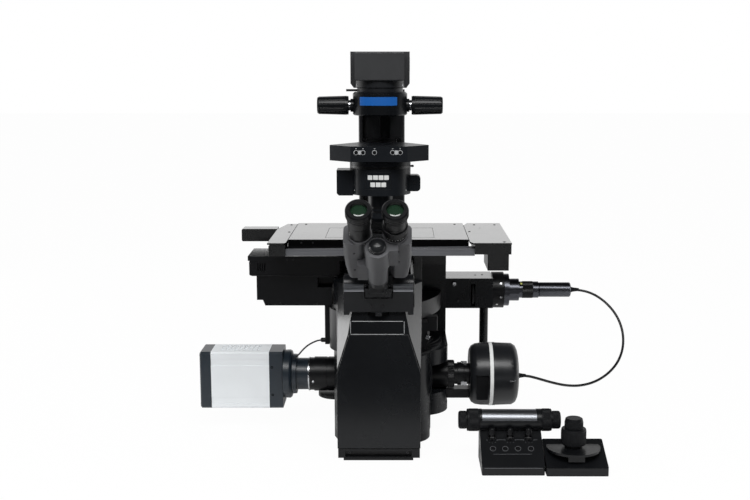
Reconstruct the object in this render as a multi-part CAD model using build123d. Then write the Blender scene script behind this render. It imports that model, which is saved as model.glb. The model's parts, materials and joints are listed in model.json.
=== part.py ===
from build123d import *
import math
import os

os.makedirs("parts", exist_ok=True)

# An inverted research microscope with its stage, tilting binocular head, transmitted-light pillar,
# condenser, reflected-light illuminator, two port cameras and two hand controllers.
# Millimetres. Z is up, +X is the viewer's right, +Y points away from the viewer.
# The optical axis of the objective is the line X = 0, Y = 0, and the bench is Z = 0.

# Fits and clearances
RUN = 0.05          # radial clearance of a shaft in its bore
GAP = 0.3           # distance between faces of bodies that move past each other

# Stand
FOOT_HEIGHT = 4.0
BASE_TOP = 20.0
NOSE_FRONT = -200.0
NOSE_HALF = 72.5
SHOULDER_Z = 156.0
NECK_HALF = 51.0
NECK_Z = 225.0
COVER_THICK = 4.0
TUBE_SEAT_Z = 264.0
CHEEK_TOP = 300.0
CHEEK_INSIDE = 57.0
BODY_LEFT = -84.0
BODY_RIGHT = 93.0
DECK_WALL = 76.0
BODY_REAR = 260.0
WING_RIGHT = 126.0
WING_BOTTOM = 43.0
RECESS_X = 95.5
SHELF_RIGHT = 116.0
LOWER_DECK_Z = 165.0
UPPER_DECK_Z = 250.0
DECK_THICK = 31.0
LEFT_COVER = -93.0
DRIFT_LOW = 245.6
LOWER_BOX_RIGHT = -88.6
WIRE_WALL = -102.3
REAR_TOP = 320.0
STAGE_SEAT_Z = 349.0

# Light path
PORT_Z = 101.0
PORT_BORE = 20.0
CAMERA_LOW, CAMERA_HIGH = 42.0, 151.0
SHAFT_RADIUS = 14.0
TURRET_X, TURRET_Y = 38.0, 22.0
TURRET_RADIUS = 60.0
TURRET_PLACES = 6

# Stage
STAGE_TOP = 373.0
STAGE_LEFT, STAGE_RIGHT = -197.5, 234.0
STAGE_FRONT, STAGE_REAR = -127.5, 129.0
SEAM_LEFT, SEAM_RIGHT = -164.5, 160.5
INSERT_FRONT = -84.8
PLATE_THICK = 9.7
WING_THICK = 3.0
INSERT_THICK = 2.6
INSERT_HALF_X, INSERT_HALF_Y = 99.0, 62.0
LEDGE = 3.0
CARRIAGE_LOW = 356.0
RAIL_FRONT = -121.0
TAPPED_HOLE = (190.0, 60.0)
TAPPED_RADIUS, TAPPED_DEPTH = 2.0, 10.0

# Nosepiece
NOSE_TILT = 15.0
OBJECTIVES = 6
OBJECTIVE_CIRCLE = 34.0
OBJECTIVE_SEAT_Z = 318.0
OBJECTIVE_LENGTH = 44.0
OBJECTIVE_RADIUS = 13.0

# Binocular head
TILT_Y, TILT_Z = -178.0, 308.0
HEAD_ANGLE = 46.0
DRUM_RADIUS = 16.5
HEAD_HALF = 24.0
HEAD_SWEEP = 26.0
BASE_HALF = 60.0
SWING_Y = -18.0
EYE_Y = 8.0
EYE_HALF = 29.0
EYE_TOP = 208.0
EYE_RADIUS = 21.5
EYE_BORE = 14.0
LOWER_KNUCKLE, UPPER_KNUCKLE = 17.0, 20.0
KNUCKLE_LOW, KNUCKLE_SEAM, KNUCKLE_TOP = 52.0, 95.0, 138.0
PRISM_LOW, PRISM_HIGH = 40.0, 138.0
RING_START, RING_END = 150.0, 166.0

# Pillar, arm and lamp house
COLUMN_HALF = 46.0
COLUMN_FRONT, COLUMN_REAR = 172.0, 242.0
FOOT_TOP = 344.0
HINGE_Y, HINGE_Z = 252.0, 356.0
HINGE_RADIUS = 9.0
ARM_LOW, ARM_HIGH = 592.0, 634.0
COLLAR_RADIUS = 50.0
LAMP_FLOOR = 641.0
LAMP_HEIGHT = 65.0
LAMP_TOP = LAMP_FLOOR + LAMP_HEIGHT
LAMP_HALF = 44.5
LAMP_REAR_HALF = 54.5

# Condenser
PANEL_LOW, PANEL_HIGH = 511.0, 539.0
CONDENSER_Y = 6.0
CONDENSER_RADIUS = 56.4
CONDENSER_LOW = 447.0
RING_LOW, RING_HIGH = 495.0, 500.0
CONDENSER_TOP = 508.0
BARREL_RADIUS = 22.5
BARREL_LOW = 396.0

# Reflected-light illuminator
LAMP_Y, LAMP_Z = 217.0, 221.0
BOX_HALF_Y, BOX_HALF_Z = 39.5, 31.0
BOX_RIGHT = 227.0
GUIDE_END = 390.7

# Hand controllers
PAD_LEFT, PAD_RIGHT = 175.0, 281.0
PAD_FRONT, PAD_REAR = -276.0, -180.0
PAD_SLOPE = 33.5
PAD_LIP = 14.0
TUBE_Y, TUBE_Z = -200.0, 73.5
TUBE_RADIUS = 18.5
COARSE_RADIUS, FINE_RADIUS = 19.2, 15.2
JOY_LEFT, JOY_RIGHT = 283.5, 388.0
JOY_FRONT, JOY_REAR = -280.0, -205.0
JOY_LIP, JOY_TOP = 14.0, 41.0
JOY_DISC = 36.0
JOY_X, JOY_Y = 334.5, -232.0
PLATFORM = 46.0

CORD_DIAMETER = 5.0
WIRE_DIAMETER = 3.0

# Switch panel buttons, left to right on the front facet
BUTTON_RADIUS = 3.0
PANEL_BUTTON_Z = 528.0
PANEL_BUTTONS = (-42.0, -29.5, -9.0, 23.5, 37.0)

# Controls on the focus controller's sloping face
PAD_BUTTONS = (195.6, 216.6, 238.3, 260.5)
PAD_BUTTON_UP = 39.5
PAD_BUTTON_RADIUS = 4.0
PAD_LEVERS = (195.2, 226.2, 257.9)
PAD_LEVER_UP = 62.0
PAD_LEVER_RADIUS = 4.0
COARSE_LEFT, COARSE_RIGHT = 153.0, 299.5
FINE_LEFT, FINE_RIGHT = 138.4, 315.2

# Routes of the light-guide cord and of the port wire
LIGHT_GUIDE_ROUTE = (
    (GUIDE_END - 6, LAMP_Y, LAMP_Z), (408, LAMP_Y, LAMP_Z), (438, 211, 214), (464, 198, 197),
    (483, 179, 174), (492, 160, 147),
    (490, 138, 119), (477, 115, 95), (454, 91, 77), (424, 68, 65.5),
    (391, 47, 63), (359, 29, 68.5), (328, 15, 79), (300, 5, 90), (278, 0, 97), (256, 0, 97))
PORT_WIRE_ROUTE = (
    (WIRE_WALL, -45, 178), (-113, -45, 178), (-125, -43, 173), (-136, -40, 166), (-146, -36, 156),
    (-154, -31, 145), (-165, -26, 136))

UP = {"X": Rot(0, 90, 0), "Y": Rot(-90, 0, 0), "Z": Rot(0, 0, 0)}
FROM_LOW = (Align.CENTER, Align.CENTER, Align.MIN)
nodes = {}


def span(x, y, z):
    """A block between two corners, each axis given as (low, high)."""
    size = (x[1] - x[0], y[1] - y[0], z[1] - z[0])
    middle = ((x[0] + x[1]) / 2, (y[0] + y[1]) / 2, (z[0] + z[1]) / 2)
    return Pos(*middle) * Box(*size)


def eased(solid, axis, radius):
    """The solid with its edges along one axis rounded."""
    return fillet(solid.edges().filter_by(axis), radius)


def rod(axis, place, radius, start, end):
    """A round bar along one axis. place holds its other two coordinates."""
    spot = {"X": (start, *place), "Y": (place[0], start, place[1]), "Z": (*place, start)}[axis]
    return Pos(*spot) * UP[axis] * Cylinder(radius, end - start, align=FROM_LOW)


def turned(stations, bore=0.0):
    """A turned piece about Z through (height, radius) stations, bored if asked."""
    low, high = stations[0][0], stations[-1][0]
    outline = [(bore, low)] + [(radius, height) for height, radius in stations] + [(bore, high)]
    return revolve(Plane.XZ * make_face(Polyline(*outline, close=True)), Axis.Z)


def turned_x(stations, place, bore=0.0):
    """A turned piece about an axis along X, through (x, radius) stations."""
    return Pos(0, *place) * UP["X"] * turned(stations, bore)


def plan(points, low, high):
    """An outline in the horizontal plane, raised from low to high."""
    return extrude(Pos(0, 0, low) * make_face(Polyline(*points, close=True)), high - low)


def outline_plan(edges, low, high):
    """A closed outline of lines and arcs, raised from low to high."""
    return extrude(Pos(0, 0, low) * make_face(Curve() + edges), high - low)


def side(points, left, right):
    """A side view outline in (y, z), drawn out from left to right."""
    return extrude(Plane.YZ.offset(left) * make_face(Polyline(*points, close=True)), right - left)


def front_view(points, near, far):
    """A front view outline in (x, z), drawn from near to far."""
    return extrude(Plane.XZ.offset(-far) * make_face(Polyline(*points, close=True)), far - near)


def add(node, piece):
    """Put a piece's solids into the node that it belongs to."""
    nodes.setdefault(node, []).extend(piece.solids())


def nose_edge(hand):
    """The slanting plane that bevels one front corner of the stand."""
    low = Vector(hand * NOSE_HALF, NOSE_FRONT, SHOULDER_Z)
    top = Vector(hand * NECK_HALF, NOSE_FRONT, NECK_Z)
    back = Vector(hand * (NOSE_HALF + 1), NOSE_FRONT + 90, CHEEK_TOP + 3)
    normal = (top - low).cross(back - low)
    outward = normal if normal.X * hand > 0 else normal * -1
    return Plane(origin=low, z_dir=outward)


def bevel(solid):
    """The stand's two front bevels, cut from a piece."""
    for hand in (-1, 1):
        solid = split(solid, bisect_by=nose_edge(hand), keep=Keep.BOTTOM)
    return solid


def stand():
    """The casting, its base, covers, decks and side-port block."""
    cover_back = NOSE_FRONT + COVER_THICK
    lower = outline_plan(
        [
            Line((BODY_LEFT, -80), (-NOSE_HALF - 1.5, -116)),
            Line((-NOSE_HALF - 1.5, -116), (-NOSE_HALF, cover_back)),
            Line((-NOSE_HALF, cover_back), (NOSE_HALF, cover_back)),
            Line((NOSE_HALF, cover_back), (NOSE_HALF + 1.5, -116)),
            ThreePointArc((NOSE_HALF + 1.5, -116), (86, -102), (BODY_RIGHT, -77)),
            Line((BODY_RIGHT, -77), (BODY_RIGHT, BODY_REAR)),
            Line((BODY_RIGHT, BODY_REAR), (BODY_LEFT, BODY_REAR)),
            Line((BODY_LEFT, BODY_REAR), (BODY_LEFT, -80)),
        ],
        BASE_TOP, LOWER_DECK_Z)
    upper = plan(
        [
            (BODY_LEFT, -80), (-NOSE_HALF - 1.5, -116), (-NOSE_HALF, cover_back),
            (NOSE_HALF, cover_back), (DECK_WALL, -110), (DECK_WALL, 66),
            (BODY_RIGHT, 66), (BODY_RIGHT, BODY_REAR), (BODY_LEFT, BODY_REAR),
        ],
        LOWER_DECK_Z, CHEEK_TOP)
    rear = span((BODY_LEFT, BODY_RIGHT), (170, BODY_REAR), (CHEEK_TOP, REAR_TOP))
    casting = bevel(lower + upper) + rear
    slope = [(NOSE_FRONT - 1, NECK_Z), (cover_back, NECK_Z), (NOSE_FRONT + 10, NECK_Z + 21),
             (NOSE_FRONT + 13, TUBE_SEAT_Z), (-138, TUBE_SEAT_Z), (-138, CHEEK_TOP + 1),
             (NOSE_FRONT - 1, CHEEK_TOP + 1)]
    casting -= side(slope, -62, 62)
    casting -= side([(NOSE_FRONT - 1, NECK_Z), (cover_back, NECK_Z), (NOSE_FRONT + 10, NECK_Z + 21),
                     (NOSE_FRONT + 13, CHEEK_TOP + 1), (NOSE_FRONT - 1, CHEEK_TOP + 1)], -80, 80)
    casting -= span((-CHEEK_INSIDE, CHEEK_INSIDE), (-138, 170), (262, CHEEK_TOP + 1))
    casting -= rod("Z", (TURRET_X, TURRET_Y), TURRET_RADIUS + 2, UPPER_DECK_Z - DECK_THICK,
                   UPPER_DECK_Z)
    casting -= rod("Z", (TURRET_X, TURRET_Y), TURRET_RADIUS + 2, LOWER_DECK_Z + 3,
                   LOWER_DECK_Z + 34)
    casting -= rod("Z", (0, 0), SHAFT_RADIUS, PORT_Z, 263)
    casting -= span((-40, 40), (-30, 58), (PORT_Z - 26, PORT_Z + 26))
    casting -= rod("X", (0, PORT_Z), PORT_BORE, BODY_LEFT - 1, BODY_RIGHT + 1)
    casting -= Pos(0, 0, PORT_Z) * Rot(45, 0, 0) * Pos(0, 0, 20) * Cylinder(16, 215, align=FROM_LOW)
    casting -= span((BODY_LEFT + 8, BODY_RIGHT - 8), (178, BODY_REAR - 8), (BASE_TOP - 1, 292))
    casting -= span((BODY_LEFT + 8, BODY_RIGHT - 8), (100, 178), (BASE_TOP - 1, 250))
    casting -= span((8 - NOSE_HALF, NOSE_HALF - 8), (NOSE_FRONT + 12, -70), (BASE_TOP - 1, 68))
    casting -= rod("X", (LAMP_Y, LAMP_Z), 18, BODY_RIGHT - 10, BODY_RIGHT + 1)
    add("stand_casting", casting)

    cover = front_view(
        [(-NOSE_HALF, BASE_TOP + 1), (NOSE_HALF, BASE_TOP + 1), (NOSE_HALF, SHOULDER_Z),
         (NECK_HALF, NECK_Z), (-NECK_HALF, NECK_Z), (-NOSE_HALF, SHOULDER_Z)],
        NOSE_FRONT, cover_back)
    add("front_cover", bevel(cover))

    base = outline_plan(
        [
            Line((BODY_LEFT, -80), (-NOSE_HALF, -116)),
            Line((-NOSE_HALF, -116), (1 - NOSE_HALF, NOSE_FRONT)),
            Line((1 - NOSE_HALF, NOSE_FRONT), (NOSE_HALF - 1, NOSE_FRONT)),
            Line((NOSE_HALF - 1, NOSE_FRONT), (NOSE_HALF, -116)),
            ThreePointArc((NOSE_HALF, -116), (85, -102), (BODY_RIGHT - 1, -77)),
            Line((BODY_RIGHT - 1, -77), (BODY_RIGHT - 1, BODY_REAR - 1)),
            Line((BODY_RIGHT - 1, BODY_REAR - 1), (BODY_LEFT, BODY_REAR - 1)),
            Line((BODY_LEFT, BODY_REAR - 1), (BODY_LEFT, -80)),
        ],
        FOOT_HEIGHT, BASE_TOP)
    base -= span((-59, 57), (NOSE_FRONT - 1, NOSE_FRONT + 8), (FOOT_HEIGHT + 2, BASE_TOP - 4))
    add("base_plate", base)

    feet = span((-62, 60), (NOSE_FRONT - 1, NOSE_FRONT + 22), (0, FOOT_HEIGHT))
    feet += rod("Z", (0, 0), 16, 0, FOOT_HEIGHT)
    for x in (BODY_LEFT + 24, BODY_RIGHT - 24):
        feet += rod("Z", (x, BODY_REAR - 30), 18, 0, FOOT_HEIGHT)
    add("base_plate", feet)

    wing_edge = [
        Line((BODY_RIGHT, -77), (BODY_RIGHT, BODY_REAR)),
        Line((BODY_RIGHT, BODY_REAR), (WING_RIGHT, BODY_REAR)),
        Line((WING_RIGHT, BODY_REAR), (WING_RIGHT, -28)),
        TangentArc((WING_RIGHT, -28), (BODY_RIGHT, -77), tangent=(0, -1)),
    ]
    wing = outline_plan(wing_edge, WING_BOTTOM, LOWER_DECK_Z)
    wing -= span((RECESS_X, WING_RIGHT + 1), (-90, 45), (PORT_Z - 18, PORT_Z + 36))
    wing -= span((RECESS_X, WING_RIGHT + 1), (-45, 45), (PORT_Z - 45, PORT_Z - 18))
    wing -= rod("X", (0, PORT_Z), PORT_BORE, BODY_RIGHT - 1, WING_RIGHT + 1)
    add("side_port_block", wing)
    rear_block = span((BODY_RIGHT, WING_RIGHT), (70, BODY_REAR), (LOWER_DECK_Z, CHEEK_TOP))
    rear_block -= rod("X", (LAMP_Y, LAMP_Z), 18, BODY_RIGHT - 1, WING_RIGHT + 1)
    add("side_port_block", rear_block)

    arm_right = span((62, DECK_WALL), (-95, 66), (CHEEK_TOP, STAGE_SEAT_Z))
    arm_right += span((62, WING_RIGHT), (66, 135), (CHEEK_TOP, STAGE_SEAT_Z))
    arm_left = span((BODY_LEFT, -62), (42, 135), (CHEEK_TOP, STAGE_SEAT_Z))
    add("stage_base", Compound([arm_right, arm_left]))

    shelf_edge = [
        ThreePointArc((DECK_WALL, -46), (104.6, 5), (SHELF_RIGHT, 66)),
        Line((SHELF_RIGHT, 66), (DECK_WALL, 66)),
        Line((DECK_WALL, 66), (DECK_WALL, -46)),
    ]
    turret_room = rod("Z", (TURRET_X, TURRET_Y), TURRET_RADIUS + 2, UPPER_DECK_Z - DECK_THICK + 4,
                      UPPER_DECK_Z + 1)
    shelf = outline_plan(shelf_edge, UPPER_DECK_Z - DECK_THICK, UPPER_DECK_Z - 4) - turret_room
    add("deck_shelves", shelf)
    add("deck_shelves", outline_plan(shelf_edge, UPPER_DECK_Z - 4, UPPER_DECK_Z))

    apron = [
        ThreePointArc((DECK_WALL, -105), (103, -58), (SHELF_RIGHT, 0)),
        Line((SHELF_RIGHT, 0), (SHELF_RIGHT, 66)),
        Line((SHELF_RIGHT, 66), (DECK_WALL, 66)),
        Line((DECK_WALL, 66), (DECK_WALL, -105)),
    ]
    lower_lid = outline_plan(apron, LOWER_DECK_Z, LOWER_DECK_Z + 3)
    for radius in (100, 112, 124, 136):
        ring = rod("Z", (0, 30), radius + 2, LOWER_DECK_Z + 3, LOWER_DECK_Z + 4.2)
        ring -= rod("Z", (0, 30), radius, LOWER_DECK_Z + 2, LOWER_DECK_Z + 6)
        lower_lid += ring & outline_plan(apron, LOWER_DECK_Z + 3, LOWER_DECK_Z + 5)
    add("deck_shelves", lower_lid)

    web = span((DECK_WALL, DECK_WALL + 11), (-78, -52), (LOWER_DECK_Z + 4.2, UPPER_DECK_Z - DECK_THICK))
    add("deck_shelves", web)
    slider_box = span((DECK_WALL, DECK_WALL + 31), (-30, -12), (191, UPPER_DECK_Z - DECK_THICK))
    add("deck_shelves", eased(slider_box, Axis.Z, 3))

    left_cover = outline_plan(
        [
            ThreePointArc((-79, -98), (-89, -80), (LEFT_COVER, -52)),
            Line((LEFT_COVER, -52), (LEFT_COVER, 60)),
            Line((LEFT_COVER, 60), (BODY_LEFT, 60)),
            Line((BODY_LEFT, 60), (BODY_LEFT, -80)),
            Line((BODY_LEFT, -80), (-79, -98)),
        ],
        LOWER_DECK_Z + 5, DRIFT_LOW - GAP)
    add("deck_shelves", left_cover)


def turret(name, floor):
    """A filter-cube turret: a disc on a hub with one light hole and one cube in each place."""
    centre = (TURRET_X, TURRET_Y)
    reach = math.hypot(*centre)
    start = math.degrees(math.atan2(-TURRET_Y, -TURRET_X))
    disc = rod("Z", centre, TURRET_RADIUS, floor, floor + 3) + rod("Z", centre, 12, floor, floor + 20)
    disc -= rod("Z", centre, 4 + RUN, floor - 1, floor + 21)
    cubes = []
    for place in range(TURRET_PLACES):
        turn = start + place * 360 / TURRET_PLACES
        spot = Pos(*centre, floor) * Rot(0, 0, turn) * Pos(reach, 0, 0)
        disc -= spot * Cylinder(10, 8)
        cube = Pos(0, 0, 10) * Box(25, 25, 14) - Cylinder(9, 60)
        cubes.append(spot * cube)
    add(f"{name}_turret", disc)
    add(f"{name}_turret", Compound(cubes))


def light_path():
    """The turrets' spindles, the port prism and its carriage, and the tube lens."""
    decks = {"upper": UPPER_DECK_Z - DECK_THICK + 4 + GAP, "lower": LOWER_DECK_Z + 4.2 + GAP}
    spindles = [rod("Z", (TURRET_X, TURRET_Y), 4, LOWER_DECK_Z + 3, decks["lower"] + 22),
                rod("Z", (TURRET_X, TURRET_Y), 4, UPPER_DECK_Z - DECK_THICK, decks["upper"] + 22)]
    add("deck_shelves", Compound(spindles))
    for name, floor in decks.items():
        turret(name, floor)
    carriage = span((-28, 28), (-24, 16), (PORT_Z - 22, PORT_Z - 16))
    add("prism_slider", carriage)
    prism = side([(-18, PORT_Z - 16), (14, PORT_Z - 16), (14, PORT_Z + 16)], -16, 16)
    add("prism_slider", prism)
    rails = [span((x - 3, x + 3), (-29.5, 57.5), (PORT_Z - 26, PORT_Z - 22 - GAP)) for x in (-20, 20)]
    add("deck_shelves", Compound(rails))


def stage():
    """The fixed base, the Y carriage, and the flat top that carries the specimen."""
    base = span((-104, 110), (-68, 72), (STAGE_SEAT_Z, CARRIAGE_LOW))
    base -= span((-60, 60), (-69, 46), (STAGE_SEAT_Z - 1, CARRIAGE_LOW + 1))
    add("stage_base", base)

    plate_low = STAGE_TOP - PLATE_THICK
    for x, y in (((-106, -64), (-80, 108)), ((64, 112), (-80, 108)), ((-64, 64), (60, 108))):
        add("stage_carriage", span(x, y, (CARRIAGE_LOW + GAP, plate_low - GAP)))

    pocket = STAGE_TOP - INSERT_THICK
    plate_x = (SEAM_LEFT, SEAM_RIGHT)
    hole_x, hole_y = (-INSERT_HALF_X, INSERT_HALF_X), (-INSERT_HALF_Y, INSERT_HALF_Y)
    bars = [(plate_x, (INSERT_FRONT, hole_y[0])), (plate_x, (hole_y[1], STAGE_REAR)),
            ((plate_x[0], hole_x[0]), hole_y), ((hole_x[1], plate_x[1]), hole_y)]
    for x, y in bars:
        add("stage_top", span(x, y, (plate_low, STAGE_TOP)))
    for x, y in ((hole_x, (hole_y[0], hole_y[0] + LEDGE)), (hole_x, (hole_y[1] - LEDGE, hole_y[1]))):
        add("stage_top", span(x, y, (plate_low, pocket)))

    holder = span((0.2 - INSERT_HALF_X, INSERT_HALF_X - 0.2), (0.2 - INSERT_HALF_Y, INSERT_HALF_Y - 0.2),
                  (pocket, STAGE_TOP))
    holder = eased(holder, Axis.Z, 4)
    holder -= rod("Z", (0, 0), 17, pocket - 1, STAGE_TOP + 1)
    add("specimen_holder", holder)

    wing_low = STAGE_TOP - WING_THICK
    left = plan([(STAGE_LEFT, STAGE_FRONT), (-168, STAGE_FRONT), (SEAM_LEFT - 0.2, -120),
                 (SEAM_LEFT - 0.2, 118), (-184.5, 118), (STAGE_LEFT, 47)], wing_low, STAGE_TOP)
    end_block = span((STAGE_LEFT + 2, -166), (STAGE_FRONT + 2, -60), (STAGE_SEAT_Z, wing_low))
    end_block = fillet(end_block.edges().filter_by(Axis.Y).group_by(Axis.X)[0], 4)
    add("stage_top", left)
    add("stage_top", end_block)
    add("stage_top", span((STAGE_LEFT + 2, -168), (-60, 40), (352, wing_low)))
    bar = span((-266.5, STAGE_LEFT + 1), (48, 82), (349, STAGE_TOP))
    bar = eased(bar, Axis.Y, 3) - span((STAGE_LEFT - 1, -190), (40, 90), (wing_low, STAGE_TOP + 1))
    add("stage_top", bar)

    right = plan([(SEAM_RIGHT + 0.2, -110), (166, STAGE_FRONT + 1.5), (STAGE_RIGHT, STAGE_FRONT + 1.5),
                  (STAGE_RIGHT, STAGE_REAR), (169.5, STAGE_REAR), (SEAM_RIGHT + 0.2, 97)],
                 wing_low, STAGE_TOP)
    right -= rod("Z", TAPPED_HOLE, TAPPED_RADIUS, wing_low - 1, STAGE_TOP + 1)
    add("stage_top", right)
    housing = span((169, STAGE_RIGHT - 0.5), (STAGE_FRONT + 2, STAGE_REAR - 2), (352.5, wing_low))
    housing -= rod("Z", TAPPED_HOLE, TAPPED_RADIUS, STAGE_TOP - TAPPED_DEPTH, STAGE_TOP)
    add("stage_top", housing)
    add("stage_top", eased(span((192, 229.5), (STAGE_FRONT + 3, -30), (323.3, 352.5)), Axis.Z, 2))

    skirt_y = (INSERT_FRONT, INSERT_FRONT + 3)
    add("stage_top", span((-164.5, 160.5), skirt_y, (359, plate_low)))
    add("stage_top", span((-166, 169), (RAIL_FRONT + 6, INSERT_FRONT), (359, 361)))
    add("stage_top", span((-166, 169), (RAIL_FRONT + 2.5, RAIL_FRONT + 6), (356.3, 361.1)))
    add("stage_top", span((-166, 169), (RAIL_FRONT, RAIL_FRONT + 5), (349.4, 356.3)))


def nosepiece():
    """The focusing arm, the tilted turret and its objectives."""
    tilt = math.radians(NOSE_TILT)
    apex = OBJECTIVE_SEAT_Z - OBJECTIVE_CIRCLE / math.sin(tilt)
    along = OBJECTIVE_CIRCLE / math.tan(tilt)
    frame = Pos(0, 0, apex) * Rot(NOSE_TILT, 0, 0) * Pos(0, 0, along)
    disc = Pos(0, 0, -8) * Cylinder(50, 16) + Pos(0, 0, 6) * Cylinder(20, 12)
    disc -= Cylinder(6 + RUN, 60)
    objectives = []
    stations = [(0, 10), (2, 10), (2, OBJECTIVE_RADIUS), (26, OBJECTIVE_RADIUS), (30, 11.5), (37, 11.5),
                (41, 6), (OBJECTIVE_LENGTH, 5)]
    for place in range(OBJECTIVES):
        spot = Rot(0, 0, 90 + place * 360 / OBJECTIVES) * Pos(OBJECTIVE_CIRCLE, 0, 0)
        seat = spot * Rot(0, NOSE_TILT, 0)
        disc += seat * Pos(0, 0, -5) * Cylinder(12.5, 10)
        disc -= seat * Cylinder(9, 60)
        disc -= seat * Cylinder(OBJECTIVE_RADIUS + 1, 20, align=FROM_LOW)
        objectives.append(frame * seat * turned(stations, bore=4))
    add("nosepiece_turret", frame * disc)
    add("objectives", Compound(objectives))

    arm = Pos(0, 0, -16 - GAP - 7) * Cylinder(34, 14)
    arm = frame * (arm + Pos(0, 0, -16 - GAP + 14) * Cylinder(6, 30))
    arm -= rod("Z", (0, 0), SHAFT_RADIUS, 250, 330)
    arm += span((-30, 30), (-12, 122), (276, 292)) - rod("Z", (0, 0), SHAFT_RADIUS, 270, 300)
    arm += span((GAP - 27, 27 - GAP), (122, 146 - GAP), (266, 330))
    add("focus_arm", Compound(arm.solids()))
    slide = span((-40, 40), (141, 170), (262, 319)) - span((-27, 27), (140, 146), (261, 331))
    add("deck_shelves", slide)


def head_frame():
    """The binocular head's own frame: Z runs up the tubes from the tilt axis."""
    return Pos(0, TILT_Y, TILT_Z) * Rot(HEAD_ANGLE, 0, 0)


def head():
    """The tilting binocular head on its base."""
    frame = head_frame()
    block = span((-BASE_HALF, BASE_HALF), (-195, -142), (TUBE_SEAT_Z, 298))
    block += rod("X", (TILT_Y, TILT_Z), DRUM_RADIUS, -BASE_HALF, BASE_HALF)
    block += span((-BASE_HALF, BASE_HALF), (TILT_Y - DRUM_RADIUS, TILT_Y + DRUM_RADIUS), (290, TILT_Z))
    for hand in (-1, 1):
        leg = (min(50 * hand, BASE_HALF * hand), max(50 * hand, BASE_HALF * hand))
        block += span(leg, (-195, -189), (259, TUBE_SEAT_Z))
    room = (-HEAD_HALF - GAP, HEAD_HALF + GAP)
    block -= rod("X", (TILT_Y, TILT_Z), HEAD_SWEEP + 0.5, *room)
    block -= rod("X", (TILT_Y, TILT_Z), 5 + RUN, -BASE_HALF - 1, BASE_HALF + 1)
    block -= rod("Z", (0, -168), 15, TUBE_SEAT_Z - 1, 290)
    bulge = rod("Z", (0, -179), 21, TUBE_SEAT_Z - 6.5, TUBE_SEAT_Z)
    block += bulge - span((-22, 22), (-189.2, -150), (TUBE_SEAT_Z - 8, TUBE_SEAT_Z + 1))
    add("tube_base", block)
    add("tube_base", rod("X", (TILT_Y, TILT_Z), 5, -BASE_HALF, BASE_HALF))
    add("tube_base", rod("Z", (0, -168), 14.95, TUBE_SEAT_Z + 4, TUBE_SEAT_Z + 10))

    boss_top = KNUCKLE_LOW - GAP
    neck = Cylinder(DRUM_RADIUS, 2 * HEAD_HALF, rotation=(0, 90, 0))
    neck += span((-HEAD_HALF, HEAD_HALF), (-14, DRUM_RADIUS), (0, 24))
    neck += span((-46, 46), (5, 30), (24, PRISM_LOW - 3))
    neck += span((-16, 16), (-27, 8), (10, 42))
    neck += Pos(0, SWING_Y, 40) * Cylinder(LOWER_KNUCKLE, boss_top - 40, align=FROM_LOW)
    neck -= Cylinder(5 + RUN, 200, rotation=(0, 90, 0))
    bracket = span((-22.5, 22.5), (TILT_Y - 29, TILT_Y - 10), (TILT_Z - 16, TILT_Z - 1))
    add("head_neck", frame * neck + bracket)
    pin_top = KNUCKLE_TOP + GAP
    add("head_neck", frame * Pos(0, SWING_Y, boss_top) * Cylinder(6, pin_top - boss_top, align=FROM_LOW))
    cap = turned([(0, 14.2), (6, 14.2), (10, 12), (13, 7), (14, 0.5)])
    add("head_neck", frame * Pos(0, SWING_Y, pin_top) * cap)

    for name, hand, low, high, knuckle in (("left", -1, KNUCKLE_LOW, KNUCKLE_SEAM, LOWER_KNUCKLE),
                                           ("right", 1, KNUCKLE_SEAM + GAP, KNUCKLE_TOP, UPPER_KNUCKLE)):
        outer, inner = EYE_HALF + 27, EYE_HALF - 7
        shape = [(inner, PRISM_LOW), (outer - 6, PRISM_LOW), (outer - 1.5, PRISM_LOW + 30),
                 (outer, PRISM_LOW + 60), (outer, PRISM_HIGH), (inner, PRISM_HIGH)]
        shape = [(x * hand, z) for x, z in shape]
        block = front_view(shape, EYE_Y - 20, EYE_Y + 20)
        block = fillet(block.edges().filter_by(Axis.Z), 9)
        block += Pos(hand * EYE_HALF, EYE_Y, PRISM_HIGH) * Cylinder(20.4, 5, align=FROM_LOW)
        web = (min(hand * 10, hand * 34), max(hand * 10, hand * 34))
        block += span(web, (SWING_Y - 6, SWING_Y + 12), (max(low, PRISM_LOW), high))
        block += Pos(0, SWING_Y, low) * Cylinder(knuckle, high - low, align=FROM_LOW)
        block -= Pos(0, SWING_Y, 0) * Cylinder(6 + RUN, 400)
        block -= Pos(hand * EYE_HALF, EYE_Y, PRISM_HIGH - 20) * Cylinder(13, 40, align=FROM_LOW)
        add(f"{name}_prism_housing", frame * block)

        spot = frame * Pos(hand * EYE_HALF, EYE_Y, 0)
        lower_sleeve = {"left": [(PRISM_HIGH + 5, 18.5)],
                        "right": [(PRISM_HIGH + 5, 18.5), (RING_START, 18.5), (RING_START, 16.5),
                                  (RING_END, 16.5), (RING_END, 18.5)]}[name]
        sleeve = lower_sleeve + [(172, 18.5), (172, 17.4), (174, 17.4), (174, 19.4), (189, 19.4),
                                 (189, 17), (EYE_TOP - 3, 17)]
        add(f"{name}_eyepiece", spot * turned(sleeve, bore=EYE_BORE))
        cup = [(189, EYE_RADIUS - 1.5), (195, EYE_RADIUS), (EYE_TOP - 2, EYE_RADIUS),
               (EYE_TOP, EYE_RADIUS - 2)]
        cup = turned(cup, bore=EYE_BORE) - Pos(0, 0, 188) * Cylinder(17, EYE_TOP - 3 - 188, align=FROM_LOW)
        add(f"{name}_eyepiece", spot * cup)
        lens = turned([(EYE_TOP - 12, EYE_BORE), (EYE_TOP - 7, EYE_BORE), (EYE_TOP - 5, 9),
                       (EYE_TOP - 4.5, 1)])
        add(f"{name}_eyepiece", spot * lens)
    ring = turned([(RING_START + GAP, 19.4), (RING_START + 5, 20.6), (RING_END - GAP, 20.6)],
                  bore=16.5 + RUN)
    add("dioptre_ring", frame * Pos(EYE_HALF, EYE_Y, 0) * ring)


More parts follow.
